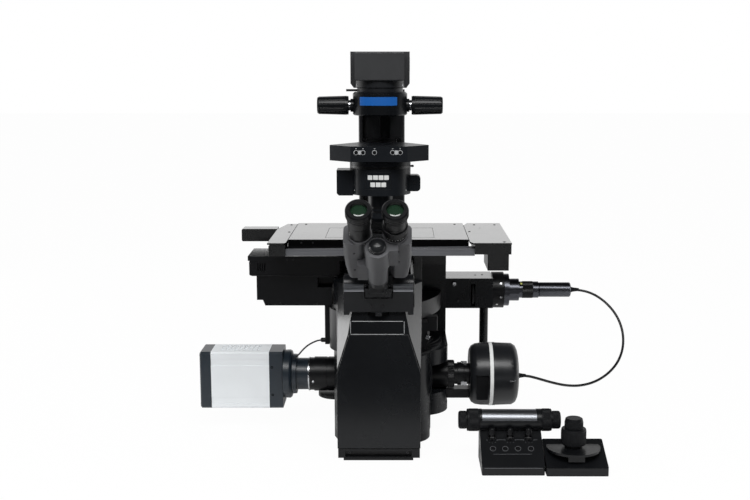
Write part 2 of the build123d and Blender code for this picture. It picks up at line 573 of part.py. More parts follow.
def pillar():
    """The tilting pillar: foot, hinge, column, arm, grips and lamp house."""
    foot = span((-COLUMN_HALF - 2, COLUMN_HALF + 2), (COLUMN_FRONT, BODY_REAR), (REAR_TOP, FOOT_TOP))
    knuckle_half = 28.0
    for hand in (-1, 1):
        ear = (min(hand * (knuckle_half + GAP), hand * 45), max(hand * (knuckle_half + GAP), hand * 45))
        foot += span(ear, (HINGE_Y - HINGE_RADIUS, HINGE_Y + 8), (FOOT_TOP, HINGE_Z))
        foot += rod("X", (HINGE_Y, HINGE_Z), HINGE_RADIUS, *ear)
    foot -= rod("X", (HINGE_Y, HINGE_Z), HINGE_RADIUS + GAP, -knuckle_half - GAP, knuckle_half + GAP)
    foot -= rod("X", (HINGE_Y, HINGE_Z), 4 + RUN, -60, 60)
    add("pillar_foot", foot)
    add("pillar_foot", rod("X", (HINGE_Y, HINGE_Z), 4, -45, 45))

    column = span((-COLUMN_HALF, COLUMN_HALF), (COLUMN_FRONT, COLUMN_REAR), (FOOT_TOP + GAP, ARM_HIGH))
    column = eased(column, Axis.Z, 6)
    column -= span((-38, 16.5), (COLUMN_FRONT - 1, COLUMN_FRONT + 15), (390, ARM_LOW - 2))
    column -= span((-32, 32), (COLUMN_FRONT + 24, COLUMN_REAR - 10), (380, ARM_LOW - 12))
    column += span((-knuckle_half, knuckle_half), (COLUMN_REAR - 4, HINGE_Y), (HINGE_Z - 9, HINGE_Z + 9))
    column += rod("X", (HINGE_Y, HINGE_Z), HINGE_RADIUS, -knuckle_half, knuckle_half)
    column -= rod("X", (HINGE_Y, HINGE_Z), 4 + RUN, -60, 60)
    column -= rod("X", (HINGE_Y, HINGE_Z), HINGE_RADIUS + GAP, knuckle_half, 50)
    column -= rod("X", (HINGE_Y, HINGE_Z), HINGE_RADIUS + GAP, -50, -knuckle_half)
    add("pillar_column", column)
    add("pillar_column", span((-20, -2), (COLUMN_FRONT - 8, COLUMN_FRONT + 15), (400, ARM_LOW - 4)))

    arm = span((-36, 36), (30, COLUMN_FRONT), (ARM_LOW + 4, ARM_HIGH - 4))
    arm += turned([(ARM_LOW, COLLAR_RADIUS - 2), (ARM_LOW + 2, COLLAR_RADIUS),
                   (ARM_HIGH - 3, COLLAR_RADIUS), (ARM_HIGH, COLLAR_RADIUS - 3)])
    arm -= rod("Z", (0, 0), 30, ARM_LOW - 1, ARM_HIGH + 1)
    add("top_arm", arm)
    add("top_arm", rod("Z", (0, 0), 29.95, ARM_LOW + 4, ARM_LOW + 12))

    grip_z = (ARM_LOW + ARM_HIGH) / 2 - 3.5
    for name, hand in (("left", -1), ("right", 1)):
        grip = turned([(COLLAR_RADIUS - 2, 12), (54, 12), (54, 9), (58, 9), (58, 16.8), (62, 17.4),
                       (112, 16.0), (115, 14.2)])
        for flute in range(14):
            groove = Pos(18, 0, 64) * Rot(0, -1.6, 0) * Cylinder(1.6, 60, align=FROM_LOW)
            grip -= Rot(0, 0, flute * 360 / 14) * groove
        grip = Pos(0, 0, grip_z) * Rot(0, 90 * hand, 0) * grip
        add("top_arm", grip - rod("Z", (0, 0), COLLAR_RADIUS + 0.02, ARM_LOW - 5, ARM_HIGH + 5))

    mount = turned([(ARM_HIGH, 42), (LAMP_FLOOR, 42)], bore=30)
    mount += span((-62, -40), (-3, 3), (ARM_HIGH + 1, ARM_HIGH + 5))
    add("lamp_hood", mount)
    hood_floor = LAMP_FLOOR + 14
    hood = turned([(LAMP_FLOOR, 42), (LAMP_FLOOR + 1.5, 44.5), (hood_floor, 44.5)])
    hood += eased(span((-LAMP_HALF, LAMP_HALF), (-50, 10), (hood_floor, LAMP_TOP)), Axis.X, 2.5)
    hood -= span((3 - LAMP_HALF, LAMP_HALF - 3), (-46, 11), (hood_floor, LAMP_TOP - 3))
    hood -= rod("Z", (0, 0), 30, LAMP_FLOOR - 1, hood_floor + 1)
    hood -= span((-60, 60), (10, 60), (LAMP_FLOOR - 1, hood_floor + 1))
    add("lamp_hood", hood)
    wide = LAMP_REAR_HALF
    rear = front_view([(-wide, LAMP_FLOOR + 8), (6 - wide, LAMP_FLOOR), (wide - 6, LAMP_FLOOR),
                       (wide, LAMP_FLOOR + 8), (wide, LAMP_TOP + 1), (-wide, LAMP_TOP + 1)], 10, 112)
    rear -= span((3 - wide, wide - 3), (14, 109), (LAMP_FLOOR + 10, LAMP_TOP - 2))
    rear -= span((-34, 34), (9, 15), (LAMP_FLOOR + 14, LAMP_TOP - 5))
    for slot in range(7):
        y = 24 + slot * 12
        rear -= span((12 - wide, wide - 12), (y, y + 5), (LAMP_TOP - 3, LAMP_TOP + 2))
    add("lamp_housing", rear)
    socket = span((-14, 14), (90, 108.5), (LAMP_FLOOR + 10, LAMP_FLOOR + 40))
    add("lamp_housing", socket)
    bulb = rod("Y", (0, LAMP_FLOOR + 30), 6, 70, 90)
    add("lamp_housing", bulb)


def condenser():
    """The carrier on the pillar's rail, its switch panel, and the condenser with its turret."""
    bracket = span((-40, 40), (148, COLUMN_FRONT - GAP), (462, PANEL_HIGH))
    bracket -= span((-20 - GAP, -2 + GAP), (COLUMN_FRONT - 8 - GAP, COLUMN_FRONT), (461, PANEL_HIGH + 1))
    bracket += span((-30, 30), (60, 148), (PANEL_LOW + 1, PANEL_HIGH - 1))
    bracket -= rod("X", (156, 486), 4 + RUN, -41, 41)
    add("condenser_bracket", bracket)
    knobs = rod("X", (156, 486), 4, -56, 56)
    for x in ((-56, -40 - GAP), (40 + GAP, 56)):
        knobs += rod("X", (156, 486), 14, *x)
    add("condenser_focus_knobs", knobs)

    top = plan([(-52, -70), (50, -70), (89, -32), (87, -26), (56, 20), (30, 60), (-30, 60), (-58, 20),
                (-90, -26), (-91.5, -32)], PANEL_LOW, PANEL_HIGH)
    top -= rod("Z", (0, 0), 26, PANEL_LOW - 1, PANEL_HIGH + 1)
    for x in PANEL_BUTTONS:
        top -= rod("Y", (x, PANEL_BUTTON_Z), BUTTON_RADIUS + GAP, -71, -64)
    add("switch_panel", top)
    for number, x in enumerate(PANEL_BUTTONS, 1):
        add(f"panel_button_{number}", rod("Y", (x, PANEL_BUTTON_Z), BUTTON_RADIUS, -71.5, -65.2))

    centre = (0, CONDENSER_Y)
    upper = rod("Z", centre, CONDENSER_RADIUS, RING_HIGH + GAP, CONDENSER_TOP)
    upper += rod("Z", centre, 40, CONDENSER_TOP, PANEL_LOW)
    upper += rod("Z", centre, 34, RING_LOW, RING_HIGH + GAP)
    upper -= rod("Z", (0, 0), 16, RING_LOW - 1, PANEL_LOW + 1)
    add("condenser_housing", upper)
    ring = rod("Z", centre, CONDENSER_RADIUS, RING_LOW + GAP, RING_HIGH)
    ring -= rod("Z", centre, 34 + RUN, RING_LOW, RING_HIGH + 1)
    pin_place = (CONDENSER_Y, (RING_LOW + RING_HIGH) / 2)
    pin = rod("X", pin_place, 1.6, CONDENSER_RADIUS - 3, CONDENSER_RADIUS + 6)
    add("aperture_ring", ring + pin)

    shell = rod("Z", centre, CONDENSER_RADIUS, CONDENSER_LOW, RING_LOW)
    turret_low = CONDENSER_LOW + 13
    shell -= rod("Z", (0, 24), 37, turret_low - 2, RING_LOW - 6)
    shell -= rod("Z", (0, 0), 16, CONDENSER_LOW - 1, RING_LOW + 1)
    side_block = span((-80, -50), (-20, 26), (CONDENSER_LOW - 2, RING_LOW - 3))
    side_block = chamfer(side_block.edges().filter_by(Axis.Y).group_by(Axis.X)[0].group_by(Axis.Z)[0], 4)
    room = rod("Z", centre, CONDENSER_RADIUS - 4, CONDENSER_LOW - 7, RING_HIGH)
    shell += side_block - room
    cap = span((50, 74.5), (-12, 14), (CONDENSER_LOW + 5, CONDENSER_LOW + 35))
    cap = fillet(cap.edges().filter_by(Axis.Y).group_by(Axis.X)[-1], 7)
    add("condenser_housing", shell + (cap - room))
    disc = rod("Z", (0, 24), 36, turret_low, turret_low + 10)
    disc += rod("Z", (0, 24), 6, turret_low + 10, turret_low + 26)
    for place in range(7):
        turn = Rot(0, 0, -90 + place * 360 / 7)
        disc -= Pos(0, 24, turret_low + 5) * turn * Pos(24, 0, 0) * Cylinder(8, 12)
    disc -= rod("Z", (0, 24), 2.5 + RUN, turret_low - 1, turret_low + 27)
    add("condenser_turret", disc)
    add("condenser_housing", rod("Z", (0, 24), 2.5, turret_low - 2, RING_LOW - 6))
    barrel = turned([(BARREL_LOW, 17), (BARREL_LOW + 6, BARREL_RADIUS), (CONDENSER_LOW, BARREL_RADIUS)],
                    bore=14)
    add("condenser_housing", barrel)
    add("condenser_housing", rod("Z", (0, 0), 13.95, BARREL_LOW + 1, BARREL_LOW + 9))


def left_unit():
    """The focus-drift compensator in its box under the stage's left side."""
    box_low = DRIFT_LOW + 56.7
    flange = span((-241, -66), (-62, 30), (330, 338.5))
    body = eased(span((-239, -73.5), (-60, 28), (box_low, 330)), Axis.Y, 3)
    for slot in range(4):
        x = -224 + slot * 4.2
        body -= span((x, x + 2.2), (-61, -54), (310, 325))
    add("drift_unit", flange + body)
    lower = front_view([(-226.4, box_low), (-226.4, DRIFT_LOW + 10.5), (-215.5, DRIFT_LOW + 10.5),
                        (-211.3, DRIFT_LOW), (LOWER_BOX_RIGHT, DRIFT_LOW), (LOWER_BOX_RIGHT, box_low)],
                       -56, 34)
    lower -= span((-114.6, LOWER_BOX_RIGHT + 1), (-57, -30), (279.4, 298))
    add("drift_unit", lower)
    add("drift_unit", span((WIRE_WALL, LEFT_COVER - 1.3), (-50, 20), (171, DRIFT_LOW)))
    add("drift_unit", rod("X", (-20, 289), 10, LOWER_BOX_RIGHT, BODY_LEFT))


def left_camera():
    """The box camera on the left port."""
    place = (0, PORT_Z)
    adapter = [(-134.5, 31), (-126, 31), (-126, 32.5), (-102, 32.5), (-102, 31.5), (-99.6, 31.5),
               (-99.6, 32.5), (BODY_LEFT, 32.5)]
    add("left_camera", turned_x(adapter, place, PORT_BORE))
    coupler = [(-159.5, 30), (-137, 30), (-137, 32), (-134.5, 32)]
    add("left_camera", turned_x(coupler, place, PORT_BORE))
    flange = [(-184, 43), (-183, 45.5), (-172, 46), (-169, 44), (-167, 38), (-159.5, 37.5)]
    add("left_camera", turned_x(flange, place, PORT_BORE))
    deep = 32.0

    def end(x):
        slab = span(x, (-deep, deep), (CAMERA_LOW, CAMERA_HIGH))
        return chamfer(slab.edges().filter_by(Axis.X), 3)

    add("left_camera", end((-209.4, -184)) - rod("X", place, PORT_BORE, -200, -180))
    cap = chamfer(end((-340, -319)).faces().sort_by(Axis.X)[0].edges(), 2.5)
    for z in (CAMERA_LOW + 24, CAMERA_HIGH - 24):
        cap += span((-342, -338), (-18, -8), (z - 4, z + 4))
    add("left_camera", cap)
    low, high = CAMERA_LOW, CAMERA_HIGH
    bands = [(low, deep - 3), (low + 3, deep), (low + 9, deep), (low + 9, deep - 1), (low + 21, deep - 1),
             (low + 21, deep), (high - 26, deep), (high - 26, deep - 1), (high - 14, deep - 1),
             (high - 14, deep), (high - 3, deep), (high, deep - 3)]
    outline = [(-y, z) for z, y in bands] + [(y, z) for z, y in reversed(bands)]
    shell = side(outline, -319, -209.4)
    shell -= span((-320, -209), (5 - deep, deep - 5), (CAMERA_LOW + 4, CAMERA_HIGH - 4))
    for row in range(3):
        for column in range(9):
            x, y = -302 + column * 8.6, -22 + row * 15
            shell -= span((x, x + 5.4), (y, y + 12), (CAMERA_HIGH - 1.2, CAMERA_HIGH + 1))
    add("left_camera", shell)
    board = span((-222, -218), (-26, 26), (PORT_Z - 40, PORT_Z + 40))
    board += span((-218, -209.5), (-18, 18), (PORT_Z - 18, PORT_Z + 18))
    add("left_camera", board)
    ledge = rod("Z", (BODY_LEFT, 0), 35, 60, 66) - span((BODY_LEFT, 0), (-40, 40), (50, 70))
    add("deck_shelves", ledge)


def right_camera():
    """The drum camera on the right port."""
    place = (0, PORT_Z)
    ring = [(RECESS_X, 33), (99, 33), (99, 27), (126, 27), (126, 25.4), (140, 25.4), (140, 20), (146, 20),
            (146, 22), (158, 22), (158, 20), (168.5, 20)]
    add("right_port_adapter", turned_x(ring, place, 14))
    add("right_port_adapter", span((RECESS_X, 168.5), (-14, 14), (57, 74)) - rod("X", place, 34, 90, 100))
    front = [(168.5, 47), (172, 53.5), (179, 57.6), (190, 59.2), (208.7, 59.4)]
    front = turned_x(front, place) - span((178, 203), (-70, -52.5), (62, 113))
    add("right_camera", front - rod("X", place, 14, 160, 175))
    add("right_camera", turned_x([(208.7, 60), (216.7, 60)], place))
    back = turned_x([(216.7, 59.4), (248, 58.4), (255, 54), (258.5, 47), (260, 40)], place)
    add("right_camera", back - rod("X", (0, 97), 4, 252, 261))


def illuminator():
    """The reflected-light illuminator at the right rear, its light-guide collar and its post."""
    y, z = (LAMP_Y - BOX_HALF_Y, LAMP_Y + BOX_HALF_Y), (LAMP_Z - BOX_HALF_Z, LAMP_Z + BOX_HALF_Z)
    box = span((WING_RIGHT, BOX_RIGHT), y, z)
    box -= span((WING_RIGHT - 1, BOX_RIGHT + 1), (y[0] + 8, y[1] - 5), (z[0] + 5, z[1] - 5))
    box -= span((182, 191), (y[0] - 1, y[0] + 9), (z[0] + 4, z[1] - 12))
    add("illuminator_box", box)
    place = (LAMP_Y, LAMP_Z)
    flange = [(BOX_RIGHT, 37.4), (251, 37.4), (252, 33.3), (262, 33.3), (263, 23), (283, 23)]
    add("light_guide_collar", turned_x(flange, place, 16.2))
    guide = [(BOX_RIGHT + 12, 16), (283, 16), (283, 17), (324, 17), (325, 14), (326, 15.2),
             (GUIDE_END - 2, 15.2), (GUIDE_END, 13)]
    guide = turned_x(guide, place) - rod("X", place, CORD_DIAMETER / 2, GUIDE_END - 6, GUIDE_END + 1)
    add("light_guide_collar", guide)
    axle = (y[0] + 14, LAMP_Z - 4)
    wheel = rod("X", axle, 22, 184, 189) - rod("X", axle, 3 + RUN, 180, 192)
    add("attenuator_wheel", wheel)
    add("illuminator_box", rod("X", axle, 3, 176, 196))
    holders = span((176, 181), (y[0] + 8, y[0] + 20), (z[0] + 5, LAMP_Z)) + span(
        (192, 197), (y[0] + 8, y[0] + 20), (z[0] + 5, LAMP_Z))
    holders -= rod("X", axle, 3 + RUN, 170, 200)
    add("illuminator_box", Compound(holders.solids()))
    post = rod("Z", (211.5, LAMP_Y), 9, 3, z[0]) + rod("Z", (211.5, LAMP_Y), 22, 0, 6)
    add("illuminator_box", post)


def smooth_path(points):
    """Straight runs joined by arcs as large as their runs allow, with the arcs' radii."""
    spots = [Vector(*point) for point in points]
    radii = []
    for before, corner, after in zip(spots, spots[1:], spots[2:]):
        run = min((corner - before).length, (after - corner).length)
        half_turn = math.radians((corner - before).get_angle(after - corner)) / 2
        radii.append(0.45 * run / math.tan(half_turn))
    return FilletPolyline(*spots, radius=radii), radii


def cord(name, points, diameter):
    """A cord's plain tube along its route."""
    path, radii = smooth_path(points)
    tube = sweep(Plane(origin=path @ 0, z_dir=path % 0) * Circle(diameter / 2), path=path)
    section = math.pi * diameter ** 2 / 4
    print(name, "length", round(path.length, 1), "radii", [round(r) for r in radii],
          "fill", round(tube.volume / (section * path.length), 4))
    add(name, tube)


def focus_pad():
    """The focus controller: a sloping case under a handle with coaxial knobs at both ends."""
    case = side([(PAD_FRONT, 0), (PAD_FRONT, PAD_LIP), *slope_top(), (PAD_REAR, TUBE_Z - 6.5),
                 (PAD_REAR, 0)], PAD_LEFT, PAD_RIGHT)
    case = eased(case, Axis.Z, 3)
    axis = (TUBE_Y, TUBE_Z)
    case += rod("X", axis, COARSE_RADIUS, PAD_LEFT, PAD_RIGHT)
    groove = rod("X", axis, COARSE_RADIUS + 10, PAD_LEFT + 3.7, PAD_RIGHT - 7.8)
    groove -= rod("X", axis, TUBE_RADIUS, PAD_LEFT, PAD_RIGHT)
    groove &= span((PAD_LEFT, PAD_RIGHT), (TUBE_Y - 30, TUBE_Y + 30), (TUBE_Z + 2, TUBE_Z + 40))
    case -= groove
    case -= rod("X", axis, 8 + RUN, PAD_LEFT - 1, PAD_RIGHT + 1)
    face = Pos(0, PAD_FRONT, PAD_LIP) * Rot(PAD_SLOPE, 0, 0)
    for number, x in enumerate(PAD_BUTTONS, 1):
        spot = face * Pos(x, PAD_BUTTON_UP, 0)
        case -= spot * Cylinder(PAD_BUTTON_RADIUS + GAP, 8)
        button = turned([(-2.5, PAD_BUTTON_RADIUS), (1, PAD_BUTTON_RADIUS), (1.6, 3)])
        add(f"pad_button_{number}", spot * button)
    for number, x in enumerate(PAD_LEVERS, 1):
        spot = face * Pos(x, PAD_LEVER_UP, 0)
        case -= spot * Cylinder(PAD_LEVER_RADIUS + 1.5, 14)
        upright = spot * Rot(-PAD_SLOPE, 0, 0)
        lever = upright * turned([(0, 3), (6, 3), (6, 5.5), (8, 6), (17, 5), (18.5, 3.5)])
        lever += spot * Cylinder(PAD_LEVER_RADIUS, 7, rotation=(0, 90, 0))
        lever -= spot * Cylinder(1.2 + RUN, 30, rotation=(0, 90, 0))
        add(f"pad_lever_{number}", lever)
        case += spot * Cylinder(1.2, 2 * PAD_LEVER_RADIUS + 4, rotation=(0, 90, 0))
    add("pad_case", case)
    sleeve = rod("X", axis, 8, PAD_LEFT - GAP, PAD_RIGHT + GAP)
    for ends in ((COARSE_LEFT, PAD_LEFT - GAP), (PAD_RIGHT + GAP, COARSE_RIGHT)):
        sleeve += rod("X", axis, COARSE_RADIUS, *ends)
    add("pad_coarse_rings", sleeve - rod("X", axis, 4 + RUN, COARSE_LEFT - 1, COARSE_RIGHT + 1))
    fine = rod("X", axis, 4, COARSE_LEFT - GAP, COARSE_RIGHT + GAP)
    left_knob = [(FINE_LEFT, FINE_RADIUS - 2), (FINE_LEFT + 1.5, FINE_RADIUS),
                 (COARSE_LEFT - GAP, FINE_RADIUS)]
    right_knob = [(COARSE_RIGHT + GAP, FINE_RADIUS), (FINE_RIGHT - 1.5, FINE_RADIUS),
                  (FINE_RIGHT, FINE_RADIUS - 2)]
    fine += turned_x(left_knob, axis) + turned_x(right_knob, axis)
    add("pad_fine_knobs", fine)


def slope_top():
    """The upper end of the controller's sloping face, where it meets the handle."""
    reach = 96.0
    run, rise = reach * math.cos(math.radians(PAD_SLOPE)), reach * math.sin(math.radians(PAD_SLOPE))
    return [(PAD_FRONT + run, PAD_LIP + rise)]


def stage_handle():
    """The stage controller: a wedge with a round platform and two coaxial knobs."""
    case = side([(JOY_FRONT, 0), (JOY_FRONT, JOY_LIP), (JOY_REAR, JOY_TOP), (JOY_REAR, 0)],
                JOY_LEFT, JOY_RIGHT)
    case = eased(case, Axis.Z, 3)
    spot = (JOY_X, JOY_Y)
    platform = rod("Z", spot, PLATFORM, JOY_DISC - 4, JOY_DISC)
    case += platform - span((JOY_LEFT, JOY_RIGHT), (JOY_REAR, -100), (0, 60))
    case += rod("Z", spot, 15, JOY_DISC, JOY_DISC + 5)
    case += span((JOY_X - 14, JOY_X + 14), (JOY_Y - 40, JOY_Y - 20), (22, JOY_DISC - 4))
    case -= rod("Z", spot, 22, JOY_DISC + 5, 60) + rod("Z", spot, 6 + RUN, 10, 60)
    ring = rod("Z", spot, 22, JOY_DISC, JOY_DISC + 5) - rod("Z", spot, 15, JOY_DISC, JOY_DISC + 5)
    add("joystick_base", case - ring)
    low = JOY_DISC + 5 + GAP
    high = low + 27.5
    lower = [(10 + GAP, 6), (low, 6), (low, 20.2), (low + 1, 21.2), (high - 1, 21.2), (high, 20.2)]
    add("joystick_lower_knob", Pos(*spot, 0) * turned(lower, bore=3 + RUN))
    low = high + GAP
    upper = [(10 + GAP, 3), (low, 3), (low, 15.6), (low + 13, 15.6), (low + 17, 14.6), (low + 18, 13)]
    add("joystick_upper_knob", Pos(*spot, 0) * turned(upper))


for make in (stand, light_path, stage, nosepiece, head, pillar, condenser, left_unit, left_camera,
             right_camera, illuminator, focus_pad, stage_handle):
    make()
cord("light_guide_cord", LIGHT_GUIDE_ROUTE, CORD_DIAMETER)
cord("port_wire", PORT_WIRE_ROUTE, WIRE_DIAMETER)
for node, solids in nodes.items():
    export_step(solids[0] if len(solids) == 1 else Compound(solids), f"parts/{node}.step")
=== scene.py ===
"""The looks of an inverted microscope with its cameras, illuminator and hand controllers."""

import json
import math

import bmesh
import bpy
from mathutils import Matrix, Vector

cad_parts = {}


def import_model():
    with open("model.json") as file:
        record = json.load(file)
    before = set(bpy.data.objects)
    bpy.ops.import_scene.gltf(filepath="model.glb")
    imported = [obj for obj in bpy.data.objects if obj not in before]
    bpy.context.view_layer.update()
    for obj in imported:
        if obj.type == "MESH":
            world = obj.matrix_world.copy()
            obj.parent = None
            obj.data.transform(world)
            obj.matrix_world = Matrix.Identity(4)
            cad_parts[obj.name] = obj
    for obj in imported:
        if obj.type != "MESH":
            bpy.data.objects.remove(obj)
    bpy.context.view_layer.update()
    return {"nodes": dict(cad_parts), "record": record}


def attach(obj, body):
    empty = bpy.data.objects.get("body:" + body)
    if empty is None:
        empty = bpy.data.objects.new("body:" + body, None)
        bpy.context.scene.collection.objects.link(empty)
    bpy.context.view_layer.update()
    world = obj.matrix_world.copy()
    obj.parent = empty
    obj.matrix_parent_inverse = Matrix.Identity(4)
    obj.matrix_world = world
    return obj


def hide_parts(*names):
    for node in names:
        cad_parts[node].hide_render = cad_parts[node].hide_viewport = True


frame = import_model()
nodes = frame["nodes"]
MM = 0.001

# The photograph's width, in pixels, and the camera that it was taken with, in millimetres
IMAGE_WIDTH = 750
FOCAL_PIXELS = 1134.0
CENTRE_PIXEL = (400.0, 250.0)
CAMERA_AT = Vector((36.7, -2100.0, 684.4))
CAMERA_PITCH = math.radians(9.314)
SENSOR_WIDTH = 36.0

FRONT, BACK, UP, LEFT, RIGHT = (0, -1, 0), (0, 1, 0), (0, 0, 1), (-1, 0, 0), (1, 0, 0)
SIDES = (LEFT, RIGHT)
WHITE = (1, 1, 1, 1)

# The axes that an upright cylinder and one that lies along X are round in
UPRIGHT, LYING = (0, 1), (1, 2)

# Where the solids are that the looks are laid on, in millimetres. An axis along X is given by its
# depth and height, and a surface by its place on the axis that it is square to. SLOPE is the way
# out of the stand's sloping front, and SLOPE_AT is a point on it.
HEAD = Matrix.Translation((0, -178, 308)) @ Matrix.Rotation(math.radians(46), 4, "X")
TILT_AXIS = (-178, 308)
EYE_HALF, EYE_Y, EYE_TOP = 29.0, 8.0, 208.0
EYE_SIDE = {"left_eyepiece": -EYE_HALF, "right_eyepiece": EYE_HALF}
LENS_RADIUS = 13.9
TUBE_RADIUS = 18.5
SWING_Y = -18.0
LAMP_CENTRE, HOOD_RADIUS, COLLAR_RADIUS = (0, 0), 44.5, 50
LAMP_HALF, LAMP_BACK = 54.5, 112
GRIP_AXIS = (0, 609.5)
PANEL_Y, PANEL_BUTTON_Z = -70, 528
CONDENSER_AT, CONDENSER_RADIUS = (0.0, 6.0), 56.4
FOCUS_KNOB_AXIS = (156, 486)
STAGE_Z = 373
REAR_X, REAR_Y, REAR_SKIN_Y = 4.5, 260, 261.1
SLOPE, SLOPE_AT = Vector((0, -0.96, 0.27)), (0, -190, 246)
ILLUMINATOR_AXIS, ILLUMINATOR_FRONT = (217.0, 221.0), 177.5
PORT_AXIS = (0, 101.0)
LEFT_CAMERA_END = -340
PAD_FACE = Matrix.Translation((0, -276, 14)) @ Matrix.Rotation(math.radians(33.5), 4, "X")
PAD_TUBE_AXIS = (-200.0, 73.5)
STAGE_KNOBS = Matrix.Translation((334.5, -232.0, 0))

# How deep a form starts below the surface that it is laid on
SUNK = 0.1


def camera():
    """The photograph's camera: level across, tipped down a little, with a small shift."""
    data = bpy.data.cameras.new("photo_camera")
    data.sensor_width = SENSOR_WIDTH
    data.lens = FOCAL_PIXELS / IMAGE_WIDTH * data.sensor_width
    data.shift_x = -(CENTRE_PIXEL[0] - IMAGE_WIDTH / 2) / IMAGE_WIDTH
    obj = bpy.data.objects.new("photo_camera", data)
    bpy.context.scene.collection.objects.link(obj)
    obj.location = CAMERA_AT * MM
    obj.rotation_euler = (math.pi / 2 - CAMERA_PITCH, 0, 0)
    bpy.context.scene.camera = obj


def ray(u, v):
    """The direction in which the camera sees a pixel of the photograph."""
    across, down = u - CENTRE_PIXEL[0], v - CENTRE_PIXEL[1]
    s, c = math.sin(CAMERA_PITCH), math.cos(CAMERA_PITCH)
    return Vector((across, FOCAL_PIXELS * c - down * s, -down * c - FOCAL_PIXELS * s))


def hit(u, v, at, out=FRONT):
    """Where a pixel's ray meets the plane through a point with a given normal."""
    way = ray(u, v)
    reach = (Vector(at) - CAMERA_AT).dot(Vector(out)) / way.dot(Vector(out))
    return CAMERA_AT + way * reach


def cylinder_hit(u, v, centre, radius, axes):
    """Where a pixel's ray first meets a cylinder, and the surface's direction there.

    axes is UPRIGHT or LYING, and centre is the cylinder's place on those two axes.
    """
    way = ray(u, v)
    i, j = axes
    from_i, from_j = CAMERA_AT[i] - centre[0], CAMERA_AT[j] - centre[1]
    a = way[i] ** 2 + way[j] ** 2
    b = from_i * way[i] + from_j * way[j]
    c = from_i ** 2 + from_j ** 2 - radius ** 2
    reach = (-b - math.sqrt(max(0.0, b * b - a * c))) / a
    at = CAMERA_AT + way * reach
    out = Vector((0, 0, 0))
    out[i], out[j] = at[i] - centre[0], at[j] - centre[1]
    return at, out.normalized()


def facing(at, out=FRONT, up=UP):
    """A frame at a point whose Z points out of the surface and whose Y points up it."""
    z = Vector(out).normalized()
    x = Vector(up).cross(z)
    x = x.normalized() if x.length > 1e-6 else Vector((1, 0, 0))
    y = z.cross(x)
    place = Matrix((x, y, z)).transposed().to_4x4()
    place.translation = Vector(at)
    return place


def along_x(x, axis, way=RIGHT):
    """A frame whose Z runs along X, at a point on an axis along X."""
    return facing((x, *axis), out=way)


def lying(x, y, z):
    """A surface frame on a level face."""
    return facing((x, y, z), UP, BACK)


def on_front(u, v, y):
    """The surface frame where a pixel falls on an upright face at a given depth."""
    return facing(hit(u, v, (0, y, 0)))


def on_top(u, v, z):
    """The surface frame where a pixel falls on a level face at a given height."""
    return facing(hit(u, v, (0, 0, z), UP), UP, BACK)


def on_round(u, v, centre, radius):
    """The surface frame where a pixel falls on an upright cylinder."""
    return facing(*cylinder_hit(u, v, centre, radius, UPRIGHT))


def on_barrel(u, v, axis, radius):
    """The surface frame where a pixel falls on a cylinder that lies along X."""
    return facing(*cylinder_hit(u, v, axis, radius, LYING))


def in_head(at, out=FRONT, up=UP):
    """A surface frame given in the binocular head's own coordinates."""
    turn = HEAD.to_3x3()
    return facing(HEAD @ Vector(at), turn @ Vector(out), turn @ Vector(up))


def on_prism(u, v):
    """The surface frame where a pixel falls on the prism housings' front faces."""
    turn = HEAD.to_3x3()
    out = turn @ Vector(FRONT)
    return facing(hit(u, v, HEAD @ Vector((0, EYE_Y - 20, 0)), out), out, turn @ Vector(UP))


def on_tube(side, height, angle):
    """A surface frame on an eyepiece tube; angle -90 faces the viewer."""
    a = math.radians(angle)
    out = (math.cos(a), math.sin(a), 0)
    return in_head((side + TUBE_RADIUS * out[0], EYE_Y + TUBE_RADIUS * out[1], height), out)


def on_pad(u, v):
    """A pixel's place on the focus controller's sloping face, in that face's own coordinates."""
    turn = PAD_FACE.to_3x3()
    at = hit(u, v, PAD_FACE @ Vector((0, 0, 0)), turn @ Vector(UP))
    return PAD_FACE.inverted() @ at


def connect(tree, node, inputs):
    """Fill a shader node's inputs: another node's output is linked, anything else is a value."""
    for key, value in inputs.items():
        if isinstance(value, bpy.types.NodeSocket):
            tree.links.new(value, node.inputs[key])
        else:
            node.inputs[key].default_value = value


def add(tree, kind, inputs=None, **settings):
    """One new shader node with its settings and inputs."""
    node = tree.nodes.new(kind)
    for key, value in settings.items():
        setattr(node, key, value)
    connect(tree, node, inputs or {})
    return node


def ramp(tree, source, *stops):
    """The colour of a ramp between two stops, each a position and a colour."""
    node = add(tree, "ShaderNodeValToRGB", {"Fac": source})
    for stop, (position, colour) in zip(node.color_ramp.elements, stops):
        stop.position = position
        stop.color = (*colour, 1)
    return node.outputs["Color"]


def finish(name, colour, rough, metal=0.0, specular=0.5, grain=900.0, bump=0.04, vary=0.25,
           coat=0.0):
    """A procedural surface: fine grain in its relief, and slow changes in its gloss and colour."""
    material = bpy.data.materials.new(name)
    material.use_nodes = True
    tree = material.node_tree
    place = add(tree, "ShaderNodeTexCoord").outputs["Object"]
    slow = add(tree, "ShaderNodeTexNoise", {"Vector": place, "Scale": 14.0, "Detail": 4.0})
    slow = slow.outputs["Fac"]
    fine = add(tree, "ShaderNodeTexNoise", {"Vector": place, "Scale": grain, "Detail": 3.0})
    darker = [c * (1 - vary * 0.5) for c in colour]
    lighter = [min(1, c * (1 + vary * 0.5)) for c in colour]
    gloss = add(tree, "ShaderNodeMapRange",
                {"Value": slow, "To Min": rough * 0.86, "To Max": min(1.0, rough * 1.14)})
    relief = add(tree, "ShaderNodeBump",
                 {"Height": fine.outputs["Fac"], "Strength": bump, "Distance": 0.0004})
    connect(tree, tree.nodes["Principled BSDF"], {
        "Base Color": ramp(tree, slow, (0.3, darker), (0.7, lighter)),
        "Roughness": gloss.outputs["Result"], "Normal": relief.outputs["Normal"], "Metallic": metal,
        "Specular IOR Level": specular, "Coat Weight": coat, "Coat Roughness": 0.16})
    return material


